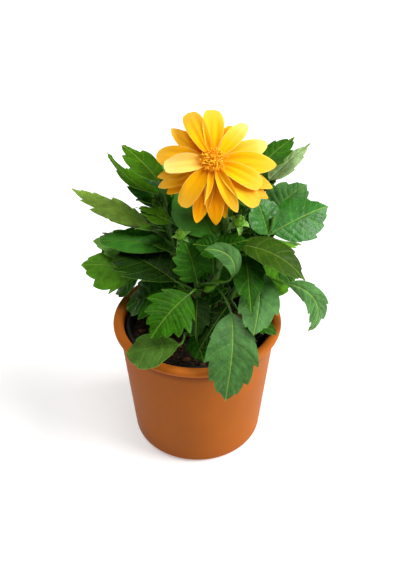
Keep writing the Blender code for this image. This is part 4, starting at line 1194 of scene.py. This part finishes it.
class DAHLIA_OT_soil(bpy.types.Operator):
    """Fill the nursery pot with lumpy peat and strew it with crumbs, bark chips and fibres"""

    bl_idname = "dahlia.soil"
    bl_label = "Potting soil"

    def execute(self, context):
        settings = settings_of("soil")
        rng = random.Random(SOIL_SEED)
        build = Build()
        profile = [(SOIL_RADIUS * k / SOIL_RINGS, SOIL_TOP_Z) for k in range(SOIL_RINGS + 1)]
        profile += [(SOIL_BASE_RADIUS, SOIL_FLOOR_Z), (0, SOIL_FLOOR_Z)]
        build.turned(profile, settings_of("pot").turned_steps, NURSERY_CENTRE)
        for vert in build.bm.verts:
            if vert.co.z > SOIL_TOP_Z - 1:
                vert.co.z = soil_height(vert.co.x, vert.co.y)
        for number in range(settings.crumbs):
            spot, size = self.spot(rng), rng.uniform(*CRUMB_SIZE)
            self.lump(build, rng, spot, size, CRUMB_SHAPE, 1, number % 3 // 2)
        for _ in range(settings.chips):
            spot, size = self.spot(rng), rng.uniform(*CHIP_SIZE)
            shape = (1, rng.uniform(*CHIP_WIDTH), rng.uniform(*CHIP_HEIGHT))
            self.lump(build, rng, spot, size, shape, 2, 1)
        for _ in range(settings.fibres):
            x, y = self.spot(rng)
            way = heading(rng.uniform(0, 360)) * rng.uniform(*FIBRE_REACH)
            arch = rng.uniform(*FIBRE_ARCH)
            start = Vector((x, y, soil_height(x, y) + FIBRE_LIFT))
            line = [start + way * s + Vector((0, 0, arch * 4 * s * (1 - s)))
                    for s in (0, 0.25, 0.5, 0.75, 1)]
            build.tube(line, FIBRE_RADII, 4, 1)
        peat = peat_material("moist_peat", settings.peat, shade(settings.bark, 0.7))
        bark = peat_material("composted_bark", settings.bark, shade(settings.bark, 1.7))
        build.finish("moist_potting_mix", [peat, bark], "potting_soil", "potting_soil")
        return {"FINISHED"}

    @staticmethod
    def spot(rng):
        """A place on the soil, even over its area and clear of the pot's wall."""
        way = rng.uniform(0, math.tau)
        out = (SOIL_RADIUS - SOIL_MARGIN) * math.sqrt(rng.random())
        return NURSERY_CENTRE.x + out * math.cos(way), NURSERY_CENTRE.y + out * math.sin(way)

    @staticmethod
    def lump(build, rng, spot, size, shape, fineness, slot):
        """Set a crumb or a chip on the soil, turned and leaning at random."""
        lean = (-LUMP_TILT, LUMP_TILT)
        turn = Euler((rng.uniform(*lean), rng.uniform(*lean), rng.uniform(0, math.tau)))
        place = Vector((*spot, soil_height(*spot) + size * shape[2] / 2))
        build.crumb(Matrix.LocRotScale(place, turn, Vector(shape) * size), fineness, slot)


# Stems

def stem_radius(stem, height):
    """A stem's radius at a height, by its even taper."""
    share = (height - stem.points[0][2]) / (stem.points[-1][2] - stem.points[0][2])
    return between((stem.foot, stem.tip), min(max(share, 0), 1))


def stem_point(stem, height):
    """The point of a stem's centre line at a height."""
    line = smooth(stem.points, STEM_STEPS)
    for low, high in zip(line, line[1:]):
        if height <= high.z:
            break
    return low.lerp(high, (height - low.z) / (high.z - low.z))


def stem_of(leaf):
    """The name of the stem that a leaf grows from."""
    return leaf.stem or leaf.mass


def all_leaves():
    """Every full-size leaf and its look: the front's, the inner ones, then the hidden side's."""
    leaves = list(LEAVES.values())
    leaves += [(leaf, INNER_LOOK) for leaf in INNER]
    for pairs in HIDDEN_SIDE:
        rng = random.Random(pairs.seed + 1)
        for leaf in hidden_leaves(pairs):
            kind = HIDDEN_KINDS[rng.randrange(len(HIDDEN_KINDS))]
            leaves.append((leaf, Look(kind, *(rng.uniform(*limits) for limits in HIDDEN_LOOK))))
    return leaves


class DAHLIA_OT_stems(bpy.types.Operator):
    """Grow the stems from the soil to their tips, ridged along and swollen where a leaf joins"""

    bl_idname = "dahlia.stems"
    bl_label = "Stems"

    def execute(self, context):
        build = Build()
        joints = {}
        for leaf, _ in all_leaves():
            joints.setdefault(stem_of(leaf), []).append(leaf.height)
        for name, stem in STEMS.items():
            line = smooth(stem.points, STEM_STEPS)
            line[0] = line[0] - Vector((0, 0, STEM_SEAT))
            radii = []
            for point in line:
                near = min(abs(point.z - height) for height in joints[name])
                swell = 1 + JOINT_SWELL * math.exp(-(near / JOINT_LENGTH) ** 2)
                foot = 1 + STEM_FLARE[0] * math.exp(-(point.z - FOOT_Z) / STEM_FLARE[1])
                radii.append(stem_radius(stem, point.z) * min(swell, JOINT_LIMIT) * foot)
            build.tube(line, radii, STEM_SIDES, 0, STEM_RIDGES, STEM_RIDGE_DEPTH)
        nodes = ["main_stem" if name == BLOOM_STEM else f"stem_{name}" for name in STEMS]
        build.finish("ridged_stems", [stem_material()], "stems", *nodes)
        return {"FINISHED"}


# Leaves

def midrib(leaf):
    """Points and directions along a blade's midrib, from its base to its tip."""
    points = [Vector(leaf.base)]
    ways = []
    for step in range(MIDRIB_STEPS + 1):
        off = step / MIDRIB_STEPS - 0.5
        ways.append(heading(leaf.heading + leaf.swing * off, leaf.pitch + leaf.bend * off))
    for here, there in zip(ways, ways[1:]):
        points.append(points[-1] + (here + there) * leaf.length / MIDRIB_STEPS / 2)
    return points, ways


def along(rib, share):
    """The point and direction at a share of the way along a midrib."""
    points, ways = rib
    place = min(max(share, 0.0), 1.0) * MIDRIB_STEPS
    k = min(int(place), MIDRIB_STEPS - 1)
    rest = place - k
    return points[k].lerp(points[k + 1], rest), ways[k].lerp(ways[k + 1], rest).normalized()


def tip_wedge(leaf, t):
    """The least half-width that a blade has at row t, so that its tip is a wedge."""
    return TIP_SLOPE * leaf.length * (1 - t) * ease((t - TIP_FROM) / (1 - TIP_FROM) * 2)


def margin(leaf, look, t, share):
    """Half the blade's width at row t, whose margin lies at share, and its tooth's reach."""
    shape = outline(share, OUTLINE_RISE, look.tip)
    phase = t * leaf.teeth % 1
    if phase < TOOTH_TIP:
        rise = (phase / TOOTH_TIP) ** TOOTH_ROUND
    else:
        rise = (1 - phase) / (1 - TOOTH_TIP)
    fade = ease((t - TOOTHED[0]) / TOOTH_FADE) * ease((TOOTHED[1] - t) / TOOTH_FADE)
    tooth = TOOTH_DEPTH * look.bite * (rise - TOOTH_INSIDE) * shape * fade
    half = leaf.width / 2 * (shape * (1 - TOOTH_DEPTH / 2) + tooth)
    least = (BLADE_FOOT if t < 0.5 else BLADE_POINT) / 2
    forward = (TOOTH_HOOK / leaf.teeth * rise * fade * min(look.bite, 1)
               * min(1, HOOK_FADE * (1 - t)))
    return max(half, tip_wedge(leaf, t), least), forward


def leaf_relief(leaf, look, t, u, half):
    """How far the surface stands off: full between veins, grooved at midrib, waved at rim."""
    place = (t * leaf.teeth + 1 - TOOTH_TIP) * 2 % 1
    swell = (math.sin(math.pi * place) * min(1, QUILT_SLOPE * abs(u)) * (1 - u ** 4)
             * math.sin(math.pi * min(t + QUILT_START, 1)))
    share, closeness = PUCKER_FINE
    spot = Vector((u * half, t * leaf.length, leaf.heading)) / PUCKER_SIZE
    pucker = noise.noise(spot) + share * noise.noise(spot * closeness)
    pucker *= 1 - math.exp(-(u * half / PUCKER_CLEAR) ** 2)
    groove = math.exp(-(u * half / RIB_WIDTH) ** 2) * (1 - t)
    start = WAVE_START[0] if u < 0 else WAVE_START[1]
    wave = u * u * math.sin(math.tau * (t * leaf.teeth * WAVE_EVERY + start))
    return look.quilt * (QUILT * swell + PUCKER * pucker) - RIB_GROOVE * groove + look.wave * wave


def leaf_surface(leaf, look, rib, t, u):
    """The point and the upward direction of a blade at row t and u from -1 to 1 across it."""
    sweep = VEIN_SWEEP / math.pi * math.sin(math.pi * t)
    half, forward = margin(leaf, look, t, t + sweep)
    share = t + sweep * abs(u) ** SWEEP_POWER + forward * abs(u) ** HOOK_POWER
    point, way = along(rib, share)
    side = heading(leaf.heading).cross(Vector((0, 0, 1)))
    normal = side.cross(way).normalized()
    roll, fold = math.radians(leaf.roll), math.radians(leaf.fold)
    across = side * math.cos(roll) + normal * math.sin(roll)
    over = normal * math.cos(roll) - side * math.sin(roll)
    lift = abs(u) * half * math.sin(fold) + leaf_relief(leaf, look, t, u, half)
    return point + across * (u * half * math.cos(fold)) + over * lift, over


def leaf_pattern(leaf, look, t, u):
    """The pattern map's place: millimetres from the midrib, and side veins from the base."""
    share = t + VEIN_SWEEP / math.pi * math.sin(math.pi * t)
    half = leaf.width / 2 * outline(share, OUTLINE_RISE, look.tip)
    return u * max(half, tip_wedge(leaf, t)), t * leaf.teeth + 1 - TOOTH_TIP


def hidden_leaves(pairs):
    """The rule for the hidden side: pairs up a stem, each a quarter turn from the last."""
    rng = random.Random(pairs.seed)
    leaves = []
    for k in range(pairs.count):
        share = k / (pairs.count - 1)
        height = between((pairs.low, pairs.high), share)
        size = between((pairs.lower, pairs.upper), share)
        stalk = stem_point(STEMS[pairs.mass], height)
        for side in (0, 180):
            way = pairs.middle + PAIR_START + PAIR_TURN * k + side
            way += rng.uniform(-HEADING_SCATTER, HEADING_SCATTER)
            pitch = between(PAIR_PITCH, share) + rng.uniform(-PITCH_SCATTER, PITCH_SCATTER)
            away = (way - pairs.middle + 180) % 360 - 180
            if abs(away) > pairs.spread:
                way = pairs.middle + math.copysign(pairs.spread, away) * rng.uniform(*PAIR_SPREAD)
            base = stalk + heading(way, between(PAIR_RISE, share)) * pairs.petiole
            leaves.append(Leaf(pairs.mass, height, tuple(base), way, pitch, size,
                               size * PAIR_WIDTH_RATIO, PAIR_BEND,
                               rng.uniform(-ROLL_SCATTER, ROLL_SCATTER),
                               rng.uniform(-FOLD_SCATTER, FOLD_SCATTER),
                               rng.uniform(-SWING_SCATTER, SWING_SCATTER), PAIR_TEETH))
    return leaves


def in_reach(leaf):
    """True if a leaf's base, middle and tip lie well inside the box of its mass's solid."""
    low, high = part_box(f"leaves_{leaf.mass}")
    rib = midrib(leaf)
    return all(low[k] / MM + SHOOT_MARGIN < along(rib, share)[0][k] < high[k] / MM - SHOOT_MARGIN
               for share in (0, 0.5, 1) for k in range(3))


def shoot_leaf(rng, mass, height, base, way, shrink):
    """A small leaf at a shoot's end, and its look."""
    scatter = (-SHOOT_LEAF_SCATTER, SHOOT_LEAF_SCATTER)
    size = rng.uniform(*SHOOT_LEAF) * shrink
    leaf = Leaf(mass, height, base, way + rng.uniform(*scatter), rng.uniform(*SHOOT_LEAF_PITCH),
                size, size * SHOOT_LEAF_WIDTH, SHOOT_LEAF_BEND, rng.uniform(*scatter),
                SHOOT_LEAF_FOLD, 0, SHOOT_LEAF_TEETH)
    return leaf, Look(rng.choice(SHOOT_KINDS), *SHOOT_LOOK)


def side_growth():
    """Short shoots up each side stem, each with a pair of smaller leaves in the mass's reach."""
    rng = random.Random(SHOOT_SEED)
    twigs, leaves = [], []
    for name, stem in STEMS.items():
        if name == BLOOM_STEM:
            continue
        top = stem.points[-1][2]
        turn = rng.uniform(0, 360)
        for k in range(int((top - stem.bare) / SHOOT_EVERY) + 1):
            height = min(stem.bare + SHOOT_START + SHOOT_EVERY * k, top - 0.5)
            share = (height - stem.bare) / (top - stem.bare)
            shrink = SHOOT_LEAF_FACTOR[0] - SHOOT_LEAF_FACTOR[1] * share
            start = stem_point(stem, height)
            for side in (0, 180):
                way = turn + SHOOT_TURN * k + side + rng.uniform(-SHOOT_SCATTER, SHOOT_SCATTER)
                end = start + heading(way, rng.uniform(*SHOOT_PITCH)) * rng.uniform(*SHOOT_LENGTH)
                pair = []
                for twist in (SHOOT_LEAF_TWIST, -SHOOT_LEAF_TWIST):
                    leaf, look = shoot_leaf(rng, name, height, tuple(end), way + twist, shrink)
                    faces_front = heading(leaf.heading).y < 0 and name in FRONT_MASSES
                    if in_reach(leaf) and not faces_front and height < top - SHOOT_TOP:
                        pair.append((leaf, look))
                if pair:
                    twigs.append((start, end))
                    leaves += pair
    return twigs, leaves


class DAHLIA_OT_leaves(bpy.types.Operator):
    """Lay out the leaf blades of each mass, toothed, veined and quilted, and thin"""

    bl_idname = "dahlia.leaves"
    bl_label = "Leaf blades"

    def execute(self, context):
        settings = settings_of("leaf")
        grown = [(leaf, look, 1.0) for leaf, look in all_leaves()]
        grown += [(leaf, look, SHOOT_FINENESS) for leaf, look in side_growth()[1]]
        masses = {}
        for leaf, look, fineness in grown:
            masses.setdefault(leaf.mass, []).append((leaf, look, fineness))
        for mass, leaves in masses.items():
            build = Build(len(leaves))
            for leaf, look, fineness in leaves:
                columns = 2 * int(settings.columns * fineness / 2)
                rows = int(settings.rows * fineness) * leaf.teeth
                build.sheet(columns, rows, partial(leaf_surface, leaf, look, midrib(leaf)),
                            settings.thickness / MM, partial(leaf_pattern, leaf, look),
                            (KINDS.index(look.kind), UNDERSIDE), COLUMN_POWER)
            build.finish(f"leaf_blades_{mass}", leaf_materials(), "leaves", f"leaves_{mass}")
        return {"FINISHED"}


class DAHLIA_OT_leaf_stalks(bpy.types.Operator):
    """Grow the leaf stalks, which run on under the blades as raised midribs, and the twigs"""

    bl_idname = "dahlia.leaf_stalks"
    bl_label = "Leaf stalks"

    def execute(self, context):
        build = Build()
        for leaf, look in all_leaves():
            line, radii = self.stalk(leaf)
            rib_line, rib_radii = self.lower_rib(leaf, look, 1.0)
            build.tube(line + rib_line, radii + rib_radii, PETIOLE_SIDES)
        twigs, leaves = side_growth()
        for start, end in twigs:
            line = [start.lerp(end, k / 4) for k in range(5)]
            build.tube(line, [SHOOT_RADIUS] * len(line), PETIOLE_SIDES)
        for leaf, look in leaves:
            line, radii = self.lower_rib(leaf, look, SHOOT_THICKNESS)
            build.tube(line, radii, PETIOLE_SIDES)
        build.finish("leaf_stalks", [bpy.data.materials["waxy_green_stem"]], "stems")
        return {"FINISHED"}

    @staticmethod
    def stalk(leaf):
        """The points and radii of a leaf's stalk, from its stem to where its midrib starts."""
        points, ways = midrib(leaf)
        first, last = stem_point(STEMS[stem_of(leaf)], leaf.height), points[0]
        span = (last - first).length
        leave = ((last - first).normalized() + Vector((0, 0, PETIOLE_ARCH))).normalized() * span
        arrive = ways[0] * span * PETIOLE_TURN * (1 + ways[0].dot(last - first) / span) / 2
        line, radii = [], []
        for step in range(PETIOLE_STEPS):
            t = step / PETIOLE_STEPS
            line.append(first * (2 * t ** 3 - 3 * t ** 2 + 1) + leave * (t ** 3 - 2 * t ** 2 + t)
                        + last * (3 * t ** 2 - 2 * t ** 3) + arrive * (t ** 3 - t ** 2))
            flare = PETIOLE_FLARE[0] * math.exp(-t * PETIOLE_FLARE[1])
            radii.append(between((PETIOLE_FOOT, PETIOLE_TIP), t) + flare)
        return line, radii

    @staticmethod
    def lower_rib(leaf, look, thick):
        """The points and radii of the midrib that stands out below a blade."""
        rib = midrib(leaf)
        line, radii = [], []
        for step in range(RIB_STEPS + 1):
            point, up = leaf_surface(leaf, look, rib, RIB_END * step / RIB_STEPS, 0)
            line.append(point - up * RIB_BELOW * thick)
            radii.append(between((PETIOLE_TIP, PETIOLE_END), step / RIB_STEPS) * thick)
        return line, radii


# Buds

def bud_frame(bud):
    """A bud's axis and two directions square to it."""
    axis = heading(bud.heading, BUD_PITCH)
    side = axis.cross(Vector((0, 0, 1))).normalized()
    return axis, side, axis.cross(side)


def scale_surface(bud, turn, lift, t, u):
    """An inner bract that lies on the bud like a scale, from its base to its top."""
    axis, side, other = bud_frame(bud)
    polar = math.radians(between(BUD_SCALE_SPAN, t))
    start, rise, fall = BUD_SCALE_OUTLINE
    width = BUD_SCALE_WIDTH[0] * outline(t + start, rise, fall) + BUD_SCALE_WIDTH[1]
    azimuth = math.radians(turn + u * width)
    out = side * math.cos(azimuth) + other * math.sin(azimuth)
    wide, tall = BUD_SHAPE
    up = (out * math.sin(polar) / wide + axis * math.cos(polar) / tall).normalized()
    ridge = BUD_SCALE_RIDGE[0] * math.exp(-(u / BUD_SCALE_RIDGE[1]) ** 2)
    body = (out * math.sin(polar) * wide + axis * math.cos(polar) * tall) * bud.radius
    return Vector(bud.centre) + body + up * (lift + ridge + BUD_SCALE_TIP * t ** 6), up


def outer_bract_surface(bud, turn, t, u):
    """An outer bract: a small spoon-shaped leaf that spreads from the bud's base and droops."""
    axis, side, other = bud_frame(bud)
    azimuth = math.radians(turn)
    out = side * math.cos(azimuth) + other * math.sin(azimuth)
    across = axis.cross(out)
    first = math.radians(BUD_BRACT_PITCH)
    turned = math.radians(BUD_BRACT_PITCH + bud.droop)
    climb = first - turned * t
    reach = (out * (math.sin(first) - math.sin(climb))
             + axis * (math.cos(climb) - math.cos(first))) / turned
    up = axis * math.cos(climb) - out * math.sin(climb)
    root = Vector(bud.centre) - axis * bud.radius * BUD_FOOT + out * bud.radius * BUD_BRACT_ROOT
    start, rise, fall = BUD_BRACT_OUTLINE
    half = bud.bract * BUD_BRACT_WIDTH[0] * outline(t + start, rise, fall) + BUD_BRACT_WIDTH[1]
    cup = BUD_BRACT_CUP * half * u * u
    return root + reach * bud.bract - across * u * half + up * cup, up


def bract_pattern(half, t, u):
    """The pattern map's place on a green bract: millimetres from its midrib, and no side veins."""
    return u * half, 0.5


def petal_pattern(t, u):
    """The pattern map's place on a petal or a pale bract: across it and along it."""
    return u, t


class DAHLIA_OT_buds(bpy.types.Operator):
    """Make the closed buds: a ball wrapped in scale-like bracts, with outer bracts at its base"""

    bl_idname = "dahlia.buds"
    bl_label = "Buds"

    def execute(self, context):
        settings = settings_of("leaf")
        thickness = settings.thickness / MM
        green, pale = settings.young, settings.pale
        bract = petal_material("bud_bract_tissue", mix(green, pale, 0.3), mix(green, pale, 0.6),
                               pale, settings.cream)
        materials = leaf_materials() + [bract]
        last = len(materials) - 1
        wide, tall = BUD_SHAPE
        build = Build()
        for bud in BUDS:
            start, centre = Vector(bud.start), Vector(bud.centre)
            axis = bud_frame(bud)[0]
            foot = centre - axis * bud.radius * BUD_FOOT
            points = (start, start.lerp(foot, 0.5) + Vector((0, 0, 1)), foot, foot + axis)
            radii = [between(BUD_STALK, k / BUD_STALK_STEPS) for k in range(BUD_STALK_STEPS + 1)]
            build.tube(smooth(points, BUD_STALK_STEPS), radii, PETIOLE_SIDES, UNDERSIDE)
            lean = Vector((0, 0, 1)).rotation_difference(axis)
            size = Vector((wide, wide, tall)) * bud.radius
            build.ball(Matrix.LocRotScale(centre, lean, size), *BUD_FACES, KINDS.index("young"))
            for k in range(BUD_SCALES):
                lift = BUD_SCALE_LIFT * (1 + k % 3)
                build.sheet(*BUD_SCALE_FACES,
                            partial(scale_surface, bud, 360 / BUD_SCALES * k, lift),
                            thickness * BUD_SCALE_THICKNESS, partial(bract_pattern, 3),
                            (KINDS.index(bud.kind), UNDERSIDE))
            for k in range(BUD_BRACTS):
                turn = 360 / BUD_BRACTS * k + BUD_BRACT_START
                build.sheet(*BUD_BRACT_FACES, partial(outer_bract_surface, bud, turn),
                            thickness * BUD_BRACT_THICKNESS, petal_pattern, (last, last))
        build.finish("closed_buds", materials, "leaves")
        return {"FINISHED"}


# Bloom

def bloom_frame():
    """The bloom's face point, its axis, and the rightward and upward directions in its face."""
    axis = heading(-90, BLOOM_TILT)
    right = Vector((1, 0, 0))
    return Vector(BLOOM_FACE), axis, right, axis.cross(right)


def petal_surface(petal, t, u):
    """The point and the forward direction of a petal at t along it and u from -1 to 1 across it."""
    face, axis, right, up = bloom_frame()
    angle = math.radians(petal.angle)
    out = right * math.cos(angle) + up * math.sin(angle)
    climb = math.radians(petal.tilt + petal.bend * t / 2)
    way = out * math.cos(climb) + axis * math.sin(climb)
    front = axis * math.cos(climb) - out * math.sin(climb)
    twist = math.radians(petal.twist) * t
    across = out.cross(axis) * math.cos(twist) + front * math.sin(twist)
    front = way.cross(across) * -1
    depth = PETAL_FRONT_DEPTH + PETAL_ROW_DEPTH * petal.row
    root = face - axis * depth + out * PETAL_ROOT_RADIUS
    half = petal.width * outline(t, PETAL_RISE, between(PETAL_FALL, petal.point)) / 2
    half = max(half, (PETAL_FOOT if t < 0.5 else PETAL_POINT) / 2)
    cup = petal.cup * petal.width * abs(u) ** PETAL_CUP_POWER
    cup *= math.sin(math.pi * min(1, t + PETAL_CUP_START))
    ridges = (PETAL_RIDGE * math.cos(PETAL_RIDGES * math.pi * u)
              * math.sin(math.pi * min(t + PETAL_RIDGE_START, 1)) * (1 - u * u))
    wave = PETAL_WAVES * t + petal.angle / PETAL_WAVE_TURN
    flutter = PETAL_FLUTTER * u * abs(u) * math.sin(math.tau * wave) * t
    lift = cup + ridges + flutter
    return root + way * petal.length * t + across * (u * half) + front * lift, front


class DAHLIA_OT_petals(bpy.types.Operator):
    """Set the ray petals round the disc, each cupped, ridged and thin"""

    bl_idname = "dahlia.petals"
    bl_label = "Petals"

    def execute(self, context):
        settings = settings_of("bloom")
        build = Build(len(PETALS))
        for petal in PETALS:
            kind = PETAL_KINDS.index(petal.kind)
            build.sheet(settings.columns, settings.rows, partial(petal_surface, petal),
                        settings.thickness / MM, petal_pattern, (kind, kind))
        amber, yellow, pale = settings.amber, settings.yellow, settings.pale
        edge, warm = mix(yellow, pale, 0.6), mix(amber, yellow, 0.6)
        # The amber tissue is painted shade, and the pale and pale-tipped tissues are partly painted
        # light
        materials = [
            petal_material("yellow_petal_tissue", amber, yellow, mix(yellow, pale, 0.22), edge),
            petal_material("pale_petal_tissue", warm, mix(yellow, pale, 0.5), pale, pale),
            petal_material("amber_petal_tissue", shade(amber, 0.8), amber,
                           mix(amber, yellow, 0.8), edge),
            petal_material("pale_tipped_petal_tissue", warm, yellow, pale, pale),
        ]
        build.finish("ray_petals", materials, "petals", "bloom_petals")
        return {"FINISHED"}


class DAHLIA_OT_disc(bpy.types.Operator):
    """Fill the disc with curled florets in the spiral order that daisies have"""

    bl_idname = "dahlia.disc"
    bl_label = "Disc florets"

    def execute(self, context):
        settings = settings_of("bloom")
        rng = random.Random(DISC_SEED)
        face, axis, right, up = bloom_frame()
        seat = face - axis * RECEPTACLE_FRONT
        turn = Vector((0, 0, 1)).rotation_difference(axis)
        dome = Vector((DISC_RADIUS, DISC_RADIUS, DISC_HEIGHT * DISC_DOME))
        build = Build()
        build.ball(Matrix.LocRotScale(seat, turn, dome), *DISC_FACES, 1)
        outwards, forwards, fall = FLORET_LEAN
        radii = [radius for _, radius in FLORET_LINE]
        for k in range(settings.florets):
            share = math.sqrt((k + 0.5) / settings.florets)
            angle = math.radians(GOLDEN_ANGLE * k)
            out = right * math.cos(angle) + up * math.sin(angle)
            height = math.sqrt(max(1 - share * share, 0)) * dome.z
            root = seat + out * share * dome.x + axis * height * FLORET_ROOT
            lean = (out * share * outwards + axis * (forwards - share * fall)).normalized()
            curl = out.cross(axis) * rng.uniform(*FLORET_SIDEWAYS)
            curl += out * rng.uniform(*FLORET_OUTWARDS)
            tall = rng.uniform(*FLORET_LENGTH)
            line = [root + lean * tall * s + curl * tall * FLORET_CURL[0] * s ** FLORET_CURL[1]
                    - axis * tall * FLORET_NOD[0] * s ** FLORET_NOD[1] for s, _ in FLORET_LINE]
            build.tube(line, radii, FLORET_SIDES, 1 if rng.random() < GOLD_SHARE else 0)
        florets = [floret_material("orange_floret", settings.floret),
                   floret_material("gold_floret", settings.floret_tip)]
        build.finish("disc_florets", florets, "disc", "bloom_disc")
        return {"FINISHED"}


def calyx_bract_surface(ring, turn, t, u):
    """A bract of the calyx, which spreads back from the cup behind the petals."""
    face, axis, right, up = bloom_frame()
    angle = math.radians(turn)
    out = right * math.cos(angle) + up * math.sin(angle)
    climb = math.radians(ring.tilt + ring.bend * t / 2)
    way = out * math.cos(climb) + axis * math.sin(climb)
    front = axis * math.cos(climb) - out * math.sin(climb)
    point = face - axis * ring.depth + out * ring.radius + way * ring.length * t
    width = max(ring.width * outline(t, *BRACT_OUTLINE), BRACT_FOOT if t < 0.5 else BRACT_POINT)
    cup = BRACT_CUP * ring.width * u * u
    return point + out.cross(axis) * u * (width / 2) + front * cup, front


class DAHLIA_OT_calyx(bpy.types.Operator):
    """Make the green back of the bloom: the cup, its inner bracts and the leafy outer ring"""

    bl_idname = "dahlia.calyx"
    bl_label = "Calyx"

    def execute(self, context):
        face, axis, _, _ = bloom_frame()
        build = Build()
        line = [face - axis * depth for depth, _ in CUP]
        build.tube(line, [radius for _, radius in CUP], CUP_SIDES, KINDS.index("bright"),
                   CUP_RIDGES, CUP_RIDGE_DEPTH)
        thickness = settings_of("leaf").thickness / MM
        for number in range(BRACTS):
            for ring in BRACT_RINGS:
                turn = BRACT_START + 360 / BRACTS * number + ring.turn
                build.sheet(BRACT_COLUMNS, ring.rows, partial(calyx_bract_surface, ring, turn),
                            thickness, partial(bract_pattern, 4),
                            (KINDS.index(ring.upper), KINDS.index(ring.lower)))
        build.finish("bloom_bracts", leaf_materials(), "leaves", "bloom_calyx")
        return {"FINISHED"}


# Stage

class DAHLIA_OT_stage(bpy.types.Operator):
    """Lay the floor, set the soft lights and place the photograph's camera"""

    bl_idname = "dahlia.stage"
    bl_label = "Stage"

    def execute(self, context):
        settings = settings_of("stage")
        scene = context.scene
        bm = bmesh.new()
        bmesh.ops.create_grid(bm, x_segments=1, y_segments=1, size=settings.floor_size / 2)
        mesh = bpy.data.meshes.new("floor")
        bm.to_mesh(mesh)
        bm.free()
        mesh.materials.append(floor_material())
        floor = bpy.data.objects.new("floor", mesh)
        scene.collection.objects.link(floor)
        for name, power, way in (("key", settings.key, KEY_WAY), ("top", settings.top, TOP_WAY)):
            light = bpy.data.lights.new(name, "SUN")
            light.energy = power
            light.angle = settings.spread
            lamp = bpy.data.objects.new(name, light)
            lamp.location = heading(*way)
            lamp.rotation_euler = heading(*way).to_track_quat("Z", "Y").to_euler()
            scene.collection.objects.link(lamp)
        world = bpy.data.worlds.new("soft_room")
        world.use_nodes = True
        sky = world.node_tree.nodes["Background"]
        sky.inputs["Color"].default_value = (1.0, 1.0, 1.0, 1.0)
        sky.inputs["Strength"].default_value = settings.ambient
        scene.world = world
        scene.view_settings.view_transform = "Standard"
        data = bpy.data.cameras.new("camera")
        data.lens = settings.lens
        data.sensor_width = SENSOR
        camera = bpy.data.objects.new("camera", data)
        camera.location = Vector(CAMERA_PLACE) * MM
        camera.rotation_euler = (math.radians(90 - CAMERA_PITCH), 0, -math.radians(CAMERA_YAW))
        scene.collection.objects.link(camera)
        scene.camera = camera
        return {"FINISHED"}


# Each group's settings, its title in the panel, and the pieces that have a button there
Group = namedtuple("Group", "settings title pieces")
GROUPS = {
    "pot": Group(PotSettings, "Pots", ("cover_pot", "nursery_pot")),
    "soil": Group(SoilSettings, "Soil", ("soil",)),
    "leaf": Group(LeafSettings, "Leaves", ("stems", "leaves", "leaf_stalks", "buds")),
    "bloom": Group(BloomSettings, "Bloom", ("petals", "disc", "calyx")),
    "stage": Group(StageSettings, "Stage", ("stage",)),
}


class DAHLIA_PT_panel(bpy.types.Panel):
    """The sizes and colours, and a button for each group of pieces"""

    bl_label = "Potted dahlia"
    bl_idname = "DAHLIA_PT_panel"
    bl_space_type = "VIEW_3D"
    bl_region_type = "UI"
    bl_category = "Dahlia"

    def draw(self, context):
        for name, group in GROUPS.items():
            box = self.layout.box()
            box.label(text=group.title)
            for setting in group.settings.__annotations__:
                box.prop(settings_of(name), setting)
            for piece in group.pieces:
                box.operator(f"dahlia.{piece}")


CLASSES = (DAHLIA_OT_cover_pot, DAHLIA_OT_nursery_pot, DAHLIA_OT_soil, DAHLIA_OT_stems,
           DAHLIA_OT_leaves, DAHLIA_OT_leaf_stalks, DAHLIA_OT_buds, DAHLIA_OT_petals,
           DAHLIA_OT_disc, DAHLIA_OT_calyx, DAHLIA_OT_stage, DAHLIA_PT_panel)


def register():
    for name, group in GROUPS.items():
        bpy.utils.register_class(group.settings)
        pointer = bpy.props.PointerProperty(type=group.settings)
        setattr(bpy.types.Scene, f"dahlia_{name}", pointer)
    for kind in CLASSES:
        bpy.utils.register_class(kind)


def unregister():
    for kind in reversed(CLASSES):
        bpy.utils.unregister_class(kind)
    for name, group in GROUPS.items():
        delattr(bpy.types.Scene, f"dahlia_{name}")
        bpy.utils.unregister_class(group.settings)


def main():
    register()
    bpy.ops.dahlia.stage()
    bpy.ops.dahlia.cover_pot()
    bpy.ops.dahlia.nursery_pot()
    bpy.ops.dahlia.soil()
    bpy.ops.dahlia.stems()
    bpy.ops.dahlia.leaves()
    bpy.ops.dahlia.leaf_stalks()
    bpy.ops.dahlia.buds()
    bpy.ops.dahlia.petals()
    bpy.ops.dahlia.disc()
    bpy.ops.dahlia.calyx()


if __name__ == "__main__":
    main()
